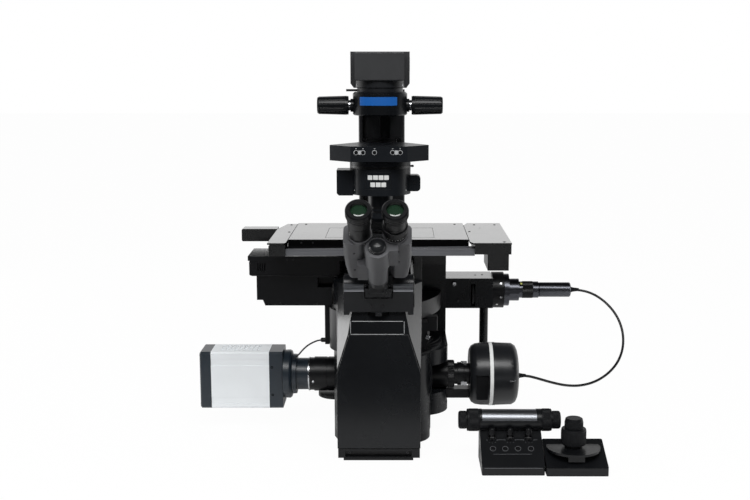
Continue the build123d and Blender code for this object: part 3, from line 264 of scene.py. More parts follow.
MATERIALS = {
    "graphite_paint": finish("satin_black_paint", (0.005, 0.0058, 0.007), 0.27, specular=0.33),
    "column_paint": finish("satin_column_paint", (0.014, 0.0148, 0.0165), 0.34),
    "slate_paint": finish("satin_slate_paint", (0.011, 0.012, 0.014), 0.32),
    "hood_paint": finish("satin_hood_paint", (0.036, 0.037, 0.039), 0.38),
    "prism_paint": finish("satin_prism_paint", (0.085, 0.086, 0.092), 0.4),
    "grey_paint": finish("satin_charcoal_paint", (0.011, 0.0118, 0.0135), 0.28),
    "black_moulding": finish("matt_black_moulding", (0.0045, 0.0047, 0.0056), 0.34, bump=0.06,
                             specular=0.28),
    "grey_moulding": finish("matt_charcoal_moulding", (0.0055, 0.006, 0.007), 0.32, bump=0.08,
                            specular=0.3),
    "stage_black": finish("black_anodised", (0.0055, 0.0057, 0.006), 0.27, grain=1400, bump=0.03),
    "stage_plate": finish("anodised_plate", (0.02, 0.021, 0.022), 0.2, specular=1.0, grain=1400,
                          bump=0.02, coat=0.5),
    # Bright grey metal, laid only on a few faces as a painted highlight on the tilt drum and the
    # controller's handle
    "highlight_metal": finish("painted_highlight_metal", (0.27, 0.28, 0.3), 0.36, metal=1.0, grain=1500,
                         bump=0.02, vary=0.06),
    "band_metal": finish("pale_band", (0.8, 0.81, 0.8), 0.5, grain=1500, bump=0.02, vary=0.05),
    # Near black: the colour of the stage's seams and dark screws, and painted shade on some faces
    # of the stage and the head's neck
    "black_and_painted_shade": finish("deep_black_and_painted_shade", (0.002, 0.002, 0.0022), 0.8, specular=0.02, bump=0.02),
    "guide_paint": finish("satin_barrel_paint", (0.09, 0.093, 0.105), 0.3, metal=1.0, bump=0.02),
    "rail_paint": finish("satin_rail_paint", (0.11, 0.113, 0.122), 0.34, grain=1400, bump=0.02),
    "panel_paint": finish("matt_panel_paint", (0.0105, 0.012, 0.0145), 0.3, specular=0.1),
    "lid_plate": finish("painted_lid", (0.012, 0.0125, 0.014), 0.24, specular=0.9, coat=0.3),
    "camera_slate": finish("slate_anodised", (0.013, 0.02, 0.028), 0.32, grain=1200, bump=0.03),
    "silver_shell": finish("clear_anodised", (0.83, 0.86, 0.88), 0.42, metal=0.3, grain=1200,
                           bump=0.03, vary=0.05),
    "satin_chrome": finish("satin_chrome", (0.62, 0.63, 0.65), 0.22, metal=1.0, grain=1500,
                           bump=0.02, vary=0.08),
    "dark_steel": finish("blackened_steel", (0.05, 0.05, 0.052), 0.3, metal=0.8, grain=1500,
                         bump=0.02),
    "grip_rubber": finish("soft_touch_rubber", (0.0075, 0.0078, 0.009), 0.45, specular=0.14,
                          grain=1600, bump=0.15),
    "optical_glass": finish("coated_glass", (0.012, 0.03, 0.017), 0.05, bump=0.0, vary=0.05,
                            coat=1.0),
    "blue_plate": finish("blue_enamel", (0.008, 0.105, 0.4), 0.3, grain=1500, bump=0.02, vary=0.06,
                         coat=0.3),
    "white_mark": finish("white_marking", (0.75, 0.76, 0.75), 0.5, grain=1500, bump=0.02,
                         vary=0.05),
    # Pale grey: the panel buttons' rings, and painted edge highlights on the stand's front
    "pale_ring_and_edge_highlight": finish("pale_ring_and_edge_highlight", (0.45, 0.46, 0.47), 0.32, grain=1500, bump=0.02, vary=0.08),
    # Dim grey: the focus controller's lines, ticks and rings, and a painted highlight along its
    # front edge
    "faint_mark_and_highlight": finish("faint_marks_and_edge_highlight", (0.09, 0.093, 0.1), 0.5, grain=1500, bump=0.02, vary=0.1),
    "yellow_mark": finish("yellow_marking", (0.5, 0.52, 0.13), 0.4, grain=1500, bump=0.02,
                          vary=0.05),
    "cable_jacket": finish("cable_jacket", (0.006, 0.006, 0.007), 0.4, grain=1800, bump=0.08),
}

# Nodes that wear one finish which isn't their slot's
WHOLE = {
    "switch_panel": "panel_paint", "condenser_housing": "panel_paint",
    "left_prism_housing": "prism_paint", "right_prism_housing": "prism_paint",
    "pillar_column": "column_paint"}

# The left camera's finishes, each up to its right-hand end
CAMERA_PARTS = ((-319, "camera_slate"), (-209.4, "silver_shell"), (-137, "camera_slate"),
                (-134.5, "satin_chrome"), (0, "black_moulding"))


def is_lens(name, at):
    """Whether a face of an eyepiece is that of its eye lens."""
    local = HEAD.inverted() @ at
    return (math.hypot(local.x - EYE_SIDE[name], local.y - EYE_Y) < LENS_RADIUS
            and local.z > EYE_TOP - 12.1)


# Faces that wear another finish than the rest of their node, among them painted shade and a
# painted highlight: a face's middle, in millimetres, and its normal go in, and the first rule that
# holds counts
FACE_RULES = {
    "left_eyepiece": ((lambda at, out: is_lens("left_eyepiece", at), "optical_glass"),),
    "right_eyepiece": ((lambda at, out: is_lens("right_eyepiece", at), "optical_glass"),),
    "stage_top": (
        (lambda at, out: out.z > 0.9 and at.z > 369, "stage_plate"),
        # Painted shade: the wings' slanted front edges and the stage's front skirt are painted near
        # black
        (lambda at, out: abs(out.z) < 0.5 and at.y < -84 and 158 < abs(at.x) < 169, "black_and_painted_shade"),
        (lambda at, out: out.y < -0.9 and -90 < at.y < -80, "black_and_painted_shade"),
        (lambda at, out: at.y < -100 and at.z < 361.2 and -168 < at.x < 169, "rail_paint")),
    "specimen_holder": ((lambda at, out: out.z > 0.9 and at.z > 369, "stage_plate"),),
    # Painted shadow: the neck's lower faces under the tilt drum are painted near black
    "tube_base": ((lambda at, out: at.z < 285 and abs(at.x) < 25 and out.z < 0.2 and out.y > -0.97,
                   "black_and_painted_shade"),),
    "light_guide_collar": ((lambda at, out: at.x > 247, "guide_paint"),),
    "lamp_housing": ((lambda at, out: at.z > 622, "hood_paint"),),
    "lamp_hood": ((lambda at, out: at.z > 655, "hood_paint"),),
    "illuminator_box": ((lambda at, out: out.z > 0.9 and at.z > 250, "lid_plate"),),
    "drift_unit": ((lambda at, out: out.z > 0.9 and at.z > 337, "stage_plate"),),
    # Painted highlight: the handle's upward faces wear the bright metal, and the rest of the case
    # stays black
    "pad_case": ((lambda at, out: out.z > 0.2 and math.hypot(
        at.y - PAD_TUBE_AXIS[0], at.z - PAD_TUBE_AXIS[1]) < 19, "highlight_metal"),),
    "left_camera": tuple((lambda at, out, end=end: at.x < end + 0.01, key)
                         for end, key in CAMERA_PARTS),
}


def world():
    """White paper all round for the camera, with a darker room in front for reflections."""
    scene = bpy.context.scene
    scene.view_settings.view_transform = "Standard"
    studio = bpy.data.worlds.new("studio")
    scene.world = studio
    studio.use_nodes = True
    studio.cycles.sampling_method = "NONE"
    tree = studio.node_tree
    tree.nodes.clear()
    place = add(tree, "ShaderNodeTexCoord").outputs["Generated"]
    parts = add(tree, "ShaderNodeSeparateXYZ", {"Vector": place}).outputs
    depth = add(tree, "ShaderNodeMapRange",
                {"Value": parts["Y"], "From Min": -1.0, "From Max": 1.0})
    behind = ramp(tree, depth.outputs["Result"], (0.54, (0.02, 0.022, 0.026)), (0.76, (1, 1, 1)))
    low = ramp(tree, parts["Z"], (0.28, (1, 1, 1)), (0.62, (0.05, 0.05, 0.055)))
    room = add(tree, "ShaderNodeMix", {"Factor": 1.0, "A": behind, "B": low}, data_type="RGBA",
               blend_type="MULTIPLY")
    ambient = add(tree, "ShaderNodeBackground", {"Color": WHITE, "Strength": 0.6})
    mirror = add(tree, "ShaderNodeBackground", {"Color": room.outputs["Result"]})
    paper = add(tree, "ShaderNodeBackground", {"Color": WHITE})
    path = add(tree, "ShaderNodeLightPath").outputs
    lit = add(tree, "ShaderNodeMixShader",
              {"Fac": path["Is Glossy Ray"], 1: ambient.outputs[0], 2: mirror.outputs[0]})
    seen = add(tree, "ShaderNodeMath",
               {0: path["Is Camera Ray"], 1: path["Is Transmission Ray"]}, operation="MAXIMUM")
    shown = add(tree, "ShaderNodeMixShader",
                {"Fac": seen.outputs[0], 1: lit.outputs[0], 2: paper.outputs[0]})
    add(tree, "ShaderNodeOutputWorld", {"Surface": shown.outputs[0]})


def floor():
    """White paper under the object. Far in front it is dark, which only reflections show."""
    mesh = bpy.data.meshes.new("floor")
    reach = 14.0
    corners = [(-reach, -reach, 0), (reach, -reach, 0), (reach, reach, 0), (-reach, reach, 0)]
    mesh.from_pydata(corners, [], [(0, 1, 2, 3)])
    obj = bpy.data.objects.new("floor", mesh)
    bpy.context.scene.collection.objects.link(obj)
    material = bpy.data.materials.new("floor_paper")
    material.use_nodes = True
    tree = material.node_tree
    shader = tree.nodes["Principled BSDF"]
    place = add(tree, "ShaderNodeTexCoord").outputs["Object"]
    parts = add(tree, "ShaderNodeSeparateXYZ", {"Vector": place}).outputs
    depth = add(tree, "ShaderNodeMapRange",
                {"Value": parts["Y"], "From Min": -0.5, "From Max": -0.395})
    paper = ramp(tree, depth.outputs["Result"], (0.0, (0.02, 0.02, 0.022)),
                 (1.0, (0.93, 0.93, 0.93)))
    connect(tree, shader, {"Base Color": paper, "Roughness": 0.9, "Specular IOR Level": 0.1})
    glow = add(tree, "ShaderNodeEmission", {"Color": WHITE})
    seen = add(tree, "ShaderNodeLightPath").outputs["Is Camera Ray"]
    share = add(tree, "ShaderNodeMath", {0: seen, 1: 0.965}, operation="MULTIPLY")
    mix = add(tree, "ShaderNodeMixShader",
              {"Fac": share.outputs[0], 1: shader.outputs[0], 2: glow.outputs[0]})
    connect(tree, tree.nodes["Material Output"], {"Surface": mix.outputs[0]})
    mesh.materials.append(material)


def lamp(name, at, aim, width, height, power):
    """A soft rectangular lamp, which lights the object and isn't seen itself."""
    data = bpy.data.lights.new(name, "AREA")
    data.shape = "RECTANGLE"
    data.size, data.size_y = width, height
    data.energy = power
    obj = bpy.data.objects.new(name, data)
    bpy.context.scene.collection.objects.link(obj)
    obj.location = at
    obj.rotation_euler = (Vector(aim) - Vector(at)).to_track_quat("-Z", "Y").to_euler()
    obj.visible_camera = False


def dress_nodes():
    """Each node that stays takes its finishes, face by face, and slightly rounded edges."""
    slots = {entry["node"]: entry["material_slot"] for entry in frame["record"]["subparts"]}
    for name, obj in nodes.items():
        mesh = obj.data
        mesh.materials.clear()
        usual = WHOLE.get(name, slots[name])
        rules = FACE_RULES.get(name, ())
        keys = []
        for face in mesh.polygons:
            at = face.center / MM
            key = next((key for rule, key in rules if rule(at, face.normal)), usual)
            if key not in keys:
                keys.append(key)
                mesh.materials.append(MATERIALS[key])
            face.material_index = keys.index(key)
        weld = obj.modifiers.new("weld", "WELD")
        weld.merge_threshold = 0.00001
        bevel = obj.modifiers.new("edges", "BEVEL")
        bevel.width = 0.0006
        bevel.segments = 2
        bevel.limit_method = "ANGLE"
        bevel.angle_limit = math.radians(35)
        bevel.harden_normals = False
        normals = obj.modifiers.new("normals", "WEIGHTED_NORMAL")
        normals.keep_sharp = True


def cord(name, route, diameter, material):
    """A cord on one smooth line through its route's control points, given in millimetres."""
    curve = bpy.data.curves.new(name, "CURVE")
    curve.dimensions = "3D"
    spline = curve.splines.new("NURBS")
    spline.points.add(len(route) - 1)
    for point, spot in zip(spline.points, route):
        point.co = (*[c * MM for c in spot], 1)
    spline.order_u = 3
    spline.use_endpoint_u = True
    spline.resolution_u = 12
    curve.bevel_depth = diameter * MM / 2
    curve.bevel_resolution = 6
    curve.use_fill_caps = True
    curve.materials.append(material)
    obj = bpy.data.objects.new(name + "_jacket", curve)
    bpy.context.scene.collection.objects.link(obj)
    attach(obj, "root")
    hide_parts(name)


# Forms. Each of these functions gives back another one, which builds the form in a bmesh.

def lathe(place, profile, segments=32, closed=False, teeth=0.0):
    """A turned form through (radius, height) points about the frame's Z axis.

    A point's third value, if it has one, makes that ring a polygon of so many sides. teeth is the
    depth of the ribs that alternate round the form.
    """
    def ring(bm, radius, height, sides=0):
        if radius < 1e-6:
            return [bm.verts.new((place @ Vector((0, 0, height))) * MM)]
        verts = []
        for step in range(segments):
            angle = 2 * math.pi * step / segments
            reach = radius
            if sides:
                wedge = math.pi / sides
                reach = radius * math.cos(wedge) / math.cos((angle + wedge) % (2 * wedge) - wedge)
            elif teeth and step % 2:
                reach = radius - teeth
            spot = Vector((reach * math.cos(angle), reach * math.sin(angle), height))
            verts.append(bm.verts.new((place @ spot) * MM))
        return verts

    def build(bm):
        rings = [ring(bm, *point) for point in profile]
        pairs = list(zip(rings, rings[1:]))
        if closed:
            pairs.append((rings[-1], rings[0]))
        for low, high in pairs:
            for step in range(segments):
                after = (step + 1) % segments
                corners = [low[step % len(low)], low[after % len(low)], high[after % len(high)],
                           high[step % len(high)]]
                corners = list(dict.fromkeys(corners))
                if len(corners) > 2:
                    bm.faces.new(corners)
    return build


def band(place, inner, outer, start, end, ease=0.5, segments=48, teeth=0.0):
    """A ring laid round a turned surface, with both its edges eased."""
    profile = [(inner, start), (outer, start + ease), (outer, end - ease), (inner, end)]
    return lathe(place, profile, segments, closed=True, teeth=teeth)


def plate(place, width, height, corner, thick, bend=0.0, columns=10):
    """A thin plate with rounded corners and eased edges, laid on the frame's XY plane.

    bend is the radius of an upright cylinder that the plate is wrapped round.
    """
    ease = min(0.25, thick / 3)
    arc_steps = 4

    def outline(inset):
        w, h, r = width / 2 - inset, height / 2 - inset, max(corner - inset, 0.05)
        xs = [-w + r * (1 - math.cos(math.pi / 2 * i / arc_steps)) for i in range(arc_steps)]
        xs += [-w + r + (2 * w - 2 * r) * i / columns for i in range(columns + 1)]
        xs += [-x for x in reversed(xs[:arc_steps])]
        rows = []
        for x in xs:
            past = max(0.0, abs(x) - (w - r))
            rows.append((x, h - r + math.sqrt(max(0.0, r * r - past * past))))
        return rows

    def put(bm, x, y, out):
        spot = Vector((x, y, out))
        if bend:
            angle = x / bend
            reach = bend + out
            spot = Vector((reach * math.sin(angle), y, reach * math.cos(angle) - bend))
        return bm.verts.new((place @ spot) * MM)

    def build(bm):
        slices = []
        for (x0, h0), (x1, h1) in zip(outline(0), outline(ease)):
            low, rim = -SUNK, thick - ease
            section = ((x0, -h0, low), (x0, -h0, rim), (x1, -h1, thick), (x1, h1, thick),
                       (x0, h0, rim), (x0, h0, low))
            slices.append([put(bm, *spot) for spot in section])
        for a, b in zip(slices, slices[1:]):
            for i in range(len(a)):
                j = (i + 1) % len(a)
                bm.faces.new([a[i], b[i], b[j], a[j]])
        bm.faces.new(slices[0])
        bm.faces.new(list(reversed(slices[-1])))
    return build


def cap_screw(place, radius):
    """A low cap screw with a hexagon socket."""
    top, ease = 0.6, radius * 0.18
    return lathe(place, [(radius, -0.3), (radius, top - ease), (radius - ease, top),
                         (radius * 0.55, top, 6), (radius * 0.5, top - radius * 0.6, 6),
                         (0, top - radius * 0.65)], segments=24)


def domed_screw(place, radius):
    """A domed screw head with a cross recess."""
    top = 0.9
    return lathe(place, [(radius, -0.3), (radius, 0.1), (radius * 0.85, top * 0.6),
                         (radius * 0.5, top), (radius * 0.28, top, 4), (0, top - radius * 0.5)],
                 segments=24)


def dot(place, radius):
    """A small filled mark."""
    top = 0.12
    return lathe(place, [(radius, -SUNK), (radius, top * 0.7), (radius * 0.85, top), (0, top)],
                 segments=16)


def piece(name, body, key, forms):
    """One object of the looks: forms that wear one finish, riding on one body."""
    bm = bmesh.new()
    for build in forms:
        build(bm)
    mesh = bpy.data.meshes.new(name)
    bmesh.ops.recalc_face_normals(bm, faces=bm.faces)
    bm.to_mesh(mesh)
    bm.free()
    mesh.materials.append(MATERIALS[key])
    for face in mesh.polygons:
        face.use_smooth = True
    mesh.set_sharp_from_angle(angle=math.radians(32))
    obj = bpy.data.objects.new(name, mesh)
    bpy.context.scene.collection.objects.link(obj)
    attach(obj, body)
    return obj


def screws(name, body, places, radius, key="dark_steel", kind=cap_screw):
    """A set of screws of one size on one body."""
    piece(name, body, key, [kind(place, radius) for place in places])


def lamp_details():
    """The lamp house's screws, louvres and plug, the blank plate and the grips' fittings."""
    hood = [on_round(u, 85, LAMP_CENTRE, HOOD_RADIUS) for u in (357.2, 402.2)]
    screws("hood_screws", "pillar", hood, 2.2, "satin_chrome")
    rear = [facing((x, LAMP_BACK, z), BACK) for x in (-46, 46) for z in (653, 696)]
    screws("lamp_rear_screws", "pillar", rear, 2.6, kind=domed_screw)

    def collar_hit(u, v):
        return cylinder_hit(u, v, LAMP_CENTRE, COLLAR_RADIUS, UPRIGHT)[0]

    left, right = (collar_hit(u, 101.5) for u in (360, 397))
    low, high = (collar_hit(378.5, v).z for v in (105.8, 97.2))
    start, end = (math.atan2(at.x, -at.y) for at in (left, right))
    middle = (start + end) / 2
    out = Vector((math.sin(middle), -math.cos(middle), 0))
    at = Vector((COLLAR_RADIUS * math.sin(middle), -COLLAR_RADIUS * math.cos(middle),
                 (low + high) / 2))
    piece("collar_plate", "pillar", "blue_plate",
          [plate(facing(at, out), (end - start) * COLLAR_RADIUS, high - low, 1.5, 0.7,
                 bend=COLLAR_RADIUS, columns=24)])
    neck = [(9.05, 54.2), (9.9, 54.4), (9.9, 57.4), (9.05, 57.8)]
    piece("grip_necks", "pillar", "satin_chrome",
          [lathe(along_x(0, GRIP_AXIS, way), neck, closed=True) for way in SIDES])
    screws("grip_screws", "pillar", [on_front(343.8, 108, -16.6)], 1.8)
    piece("lamp_side_louvres", "pillar", "black_moulding",
          [plate(facing((way[0] * LAMP_HALF, 30 + i * 9, 684), way), 4.5, 26, 2.2, 0.35)
           for way in (RIGHT, LEFT) for i in range(8)])
    piece("lamp_plug", "pillar", "black_moulding",
          [lathe(facing((0, LAMP_BACK, 664), BACK),
                 [(10, -0.5), (10, 3), (8.5, 4), (7, 4), (6.6, 1.5), (0, 1.5)])])


def condenser_details():
    """The switch panel's rings and marks, and the condenser's windows, frame, screws and grips."""
    buttons = (-42.0, -29.5, -9.0, 23.5, 37.0)
    ring = [(3.35, -0.2), (4.4, -0.2), (4.4, 0.35), (4.1, 0.6), (3.6, 0.6), (3.35, 0.35)]
    rings = [lathe(facing((x, PANEL_Y, PANEL_BUTTON_Z)), ring, closed=True) for x in buttons]
    bars = [plate(facing(((a + b) / 2, PANEL_Y, PANEL_BUTTON_Z)), b - a - 8.0, 7.4, 0.4, 0.4)
            for a, b in (buttons[:2], buttons[3:])]
    piece("panel_button_rings", "condenser", "pale_ring_and_edge_highlight", rings + bars)
    piece("panel_marks", "condenser", "white_mark",
          [plate(facing((x, PANEL_Y, 535)), 2.6, 0.6, 0.25, 0.12) for x in buttons])

    def spot(u, v):
        return on_round(u, v, CONDENSER_AT, CONDENSER_RADIUS)

    pitch = 5.5
    piece("condenser_windows", "condenser", "white_mark",
          [plate(spot(u + i * pitch, v), 8.9, 8.2, 1.0, 0.25, bend=CONDENSER_RADIUS)
           for v, u, count in ((177.65, 370.0, 4), (184.8, 372.7, 3)) for i in range(count)])
    across = [plate(spot(378, v), 47, 0.7, 0.3, 0.2, bend=CONDENSER_RADIUS, columns=20)
              for v in (172.2, 189.8)]
    upright = [plate(spot(u, 181), 0.7, 31.5, 0.3, 0.2) for u in (365.2, 390.8)]
    piece("condenser_frame", "condenser", "dark_steel", across + upright)
    holes = [spot(u, 185.4) for u in (354.5, 406)] + [on_front(414.6, 183, -12)]
    screws("condenser_screws", "condenser", holes, 2.2)
    piece("condenser_dots", "condenser", "white_mark",
          [dot(spot(u, 190.2), 0.9) for u in (354.5, 406)])
    piece("aperture_pin_cap", "aperture_ring", "satin_chrome",
          [lathe(along_x(0, (CONDENSER_AT[1], 497.5)),
                 [(1.65, 57.4), (2.2, 57.8), (2.2, 61.4), (1.5, 62.3), (0, 62.4)])])
    piece("condenser_barrel_knurls", "condenser", "black_moulding",
          [band(Matrix.Translation((0, 0, z)), 22.5, 22.9, 0, 4.4, ease=0.4, segments=96, teeth=0.4)
           for z in (412, 420)])
    piece("condenser_knob_grips", "condenser_focus_knobs", "grip_rubber",
          [band(along_x(0, FOCUS_KNOB_AXIS, way), 14, 14.5, 41.5, 54, segments=72, teeth=0.6)
           for way in SIDES])


def head_details():
    """The binocular head's rims, dots, screws, knurled ring, end caps and drum sleeves."""
    for side, across in (("left", -EYE_HALF), ("right", EYE_HALF)):
        centre = HEAD @ Matrix.Translation((across, EYE_Y, 0))
        piece(f"{side}_eyecup_folds", f"{side}_tube", "grip_rubber",
              [band(centre @ Matrix.Translation((0, 0, z)), 21.4, 21.9, 0, 1.8)
               for z in (193.5, 198.5, 202.5)])
        rim = [(14.0, EYE_TOP - 6), (17.0, EYE_TOP - 5.4), (17.0, EYE_TOP - 3.2),
               (15.2, EYE_TOP - 2.6), (14.0, EYE_TOP - 4.5)]
        piece(f"{side}_eye_lens_rim", f"{side}_tube", "dark_steel",
              [lathe(centre, rim, closed=True, segments=48)])
    piece("left_tube_dots", "left_tube", "white_mark",
          [dot(on_tube(-EYE_HALF, height, -148), 0.8) for height in (152, 158)])
    piece("right_tube_dots", "right_tube", "white_mark",
          [dot(on_tube(EYE_HALF, 146.5, angle), 0.7)
           for angle in (-132, -118, -104, -90, -76, -62, -48)])
    centre = HEAD @ Matrix.Translation((EYE_HALF, EYE_Y, 0))
    piece("dioptre_knurl", "dioptre_ring", "black_moulding",
          [band(centre, 20.3, 20.9, 151.2, 165, ease=0.4, segments=120, teeth=0.5)])
    screws("left_prism_screws", "left_tube", [on_prism(354, 253.6), on_prism(354.8, 269.9)], 2.0)
    screws("right_prism_screws", "right_tube", [on_prism(398.4, 252), on_prism(398.9, 261.8)], 2.0)
    cap_radius, cap_height = 14.2, 141.5
    ways = [(math.cos(a), math.sin(a), 0)
            for a in [math.radians(degrees) for degrees in (-165, -152, -139, -126, -113)]]
    piece("swing_scale_dots", "head", "white_mark",
          [dot(in_head((cap_radius * x, SWING_Y + cap_radius * y, cap_height), (x, y, z)), 0.7)
           for x, y, z in ways])
    piece("swing_seam", "left_tube", "dark_steel",
          [lathe(HEAD @ Matrix.Translation((0, SWING_Y, 0)),
                 [(16.9, 91.5), (17.3, 91.8), (17.3, 94.4), (16.9, 94.8)], closed=True,
                 segments=48)])
    screws("bracket_screws", "head", [on_front(u, 285.7, -207) for u in (365.4, 388.8)], 1.8)
    screws("tube_base_screws", "root", [on_front(u, 306, -195) for u in (371.6, 383)], 2.3)
    cap = [(15.8, 59.6), (15.8, 60.4), (14.8, 61), (5.4, 61), (5, 60.2), (0, 60.2)]
    piece("tilt_end_caps", "root", "grey_moulding",
          [lathe(along_x(0, TILT_AXIS, way), cap, segments=48) for way in SIDES])
    # Painted highlight: the sleeves' lower front faces wear the bright metal, and their top and end
    # faces wear dark paint
    sleeve = [(16.6, 24.7), (18.0, 24.7), (18.6, 25.3), (18.6, 59.2), (18.0, 59.8), (15.9, 59.8)]
    drum = piece("tilt_drum_sleeves", "root", "highlight_metal",
                 [lathe(along_x(0, TILT_AXIS, way), sleeve, segments=64) for way in SIDES])
    drum.data.materials.append(MATERIALS["grey_paint"])
    for face in drum.data.polygons:
        face.material_index = 1 if face.normal.z > 0.3 or abs(face.normal.x) > 0.5 else 0


def stand_front_details():
    """The stand front's plates and painted edge highlights, its foot's screws and the deck's knob.
    """
    def slope_hit(u, v):
        return hit(u, v, SLOPE_AT, SLOPE)

    left_u, middle_u, right_u, line_v = 351, 377.3, 403.6, 321.4
    width = slope_hit(right_u, line_v).x - slope_hit(left_u, line_v).x
    pixel = width / (right_u - left_u)
    out = SLOPE.normalized()
    piece("neck_plates", "root", "graphite_paint",
          [plate(facing(slope_hit(middle_u, v), SLOPE), width, tall * pixel, 0.6, 1.0)
           for v, tall in ((327.9, 11.4), (317.6, 6.4))])
    # The pale strips along the slope's upper edge and its two sides are painted edge highlights
    level = plate(facing(slope_hit(middle_u, line_v) + out * 0.9, SLOPE), width - 3, 1.1, 0.4, 0.4)
    ends = [plate(facing(slope_hit(u, 327.5) + out * 0.4, SLOPE), 0.9, 12 * pixel, 0.3, 0.4)
            for u in (350.6, 404.2)]
    piece("neck_edge_highlights", "root", "pale_ring_and_edge_highlight", [level, *ends])
    # A pale strip at the top of the front cover: a painted edge highlight
    at = hit(middle_u, 334.3, (0, -199.8, 0))
    piece("cover_edge_highlight", "root", "pale_ring_and_edge_highlight",
          [plate(facing((at.x, -200, at.z)), width, 0.8, 0.3, 0.3)])
    screws("plinth_screws", "root", [facing((x, -192, 11)) for x in (-52, 50)], 2.8)
    knob = [(2.2, -2), (2.2, 3), (4.6, 3.5), (4.6, 8), (3.8, 9), (0, 9)]
    piece("deck_knob", "root", "satin_chrome",
          [lathe(facing(hit(427.5, 337, (0, -84, 0)) + Vector((0, 6, 0))), knob, teeth=0.35)])


def stand_panel_details():
    """The service panels, sockets and screws at the stand's rear and sides."""
    piece("rear_panel", "root", "grey_moulding",
          [plate(facing((REAR_X, REAR_Y, 165), BACK), 150, 210, 6, 1.2)])
    piece("rear_louvres", "root", "black_moulding",
          [plate(facing((REAR_X, REAR_SKIN_Y, 210 + i * 7), BACK), 96, 3.2, 1.5, 0.8)
           for i in range(7)])
    screws("rear_panel_screws", "root",
           [facing((REAR_X + x, 261.2, z), BACK) for x in (-69, 69) for z in (68, 262)], 2.6,
           kind=domed_screw)
    inlet_x, inlet_z = 44, 100
    inlet = plate(facing((inlet_x, REAR_SKIN_Y, inlet_z), BACK), 30, 24, 2, 2.2)
    pins = [plate(facing((inlet_x + x, 263.2, inlet_z + z), BACK), 2.2, 5, 0.5, 0.5)
            for x, z in ((-6, -2), (6, -2), (0, 4))]
    piece("power_inlet", "root", "black_moulding", [inlet, *pins])
    piece("power_switch", "root", "grey_moulding",
          [plate(facing((10, REAR_SKIN_Y, 100), BACK), 14, 22, 1.5, 2.6)])
    piece("data_ports", "root", "satin_chrome",
          [plate(facing((x, REAR_SKIN_Y, 140), BACK), 13, 9, 1, 1.6) for x in (-52, -32, -12)])
    piece("side_panels", "root", "graphite_paint",
          [plate(facing((126, 160, 103), RIGHT), 170, 86, 6, 1.0),
           plate(facing((-84, 165, 165), LEFT), 170, 210, 6, 1.0)])
    right = [facing((127, y, z), RIGHT) for y in (82, 238) for z in (67, 139)]
    left = [facing((-85, y, z), LEFT) for y in (87, 243) for z in (67, 263)]
    screws("side_panel_screws", "root", right + left, 2.4, kind=domed_screw)
    piece("left_cheek_cover", "root", "grey_moulding",
          [plate(facing((-94.1, 12, 225), LEFT), 70, 26, 4, 0.8)])


def stage_details():
    """The stage's screws, insert ring, seams and scale."""
    tops = [on_top(289.2, 232, STAGE_Z), on_top(469.4, 231.5, STAGE_Z)]
    tops += [lying(x, y, STAGE_Z) for x, y in (
        (-176, 104), (182, 104), (222, 104), (222, -112), (-148, 112), (144, 112))]
    screws("stage_screws", "stage_top", tops, 2.4)
    fronts = [on_front(271.6, 251.7, -125.5)] + [on_front(u, 243, -84.8) for u in (301.3, 312.8)]
    screws("stage_front_screws", "stage_top", fronts, 1.9)
    ring = [(17.1, -1.5), (17.1, 0.25), (17.4, 0.4), (26.6, 0.4), (27, 0.1), (27, -1.5)]
    piece("insert_ring", "stage_top", "stage_plate",
          [lathe(Matrix.Translation((0, 0, STAGE_Z)), ring, closed=True, segments=64)])
    seams = ((-164.6, -1, 1.0, 238), (160.6, -6.5, 1.0, 207), (-99, 0, 0.6, 124), (99, 0, 0.6, 124),
             (0, -62, 198, 0.6), (0, 62, 198, 0.6))
    piece("stage_seams", "stage_top", "black_and_painted_shade",
          [plate(lying(x, y, STAGE_Z), width, length, 0.1, 0.12) for x, y, width, length in seams])
    piece("stage_scale", "stage_top", "white_mark",
          [plate(lying(-40 + i * 5, -115.2, 361.1), 0.4, 1.8 if i % 4 else 3.0, 0.15, 0.08)
           for i in range(41)])


def drift_details():
    """The screws and the joint of the unit under the stage's left side."""
    flange = [on_front(u, 259.6, -62) for u in (287.3, 293.4)]
    lower = [on_front(u, 303.5, -56) for u in (280.6, 317.4)]
    screws("drift_screws", "root", flange + lower, 1.9)
    start, end = (hit(u, 275.8, (0, -62, 0)) for u in (251.5, 339))
    piece("drift_joint", "root", "dark_steel",
          [plate(facing((start + end) / 2), end.x - start.x, 0.9, 0.4, 0.4)])
    side = [facing((-239, y, z), LEFT) for y in (-46, 14) for z in (308, 324)]
    screws("drift_side_screws", "root", side, 1.9)


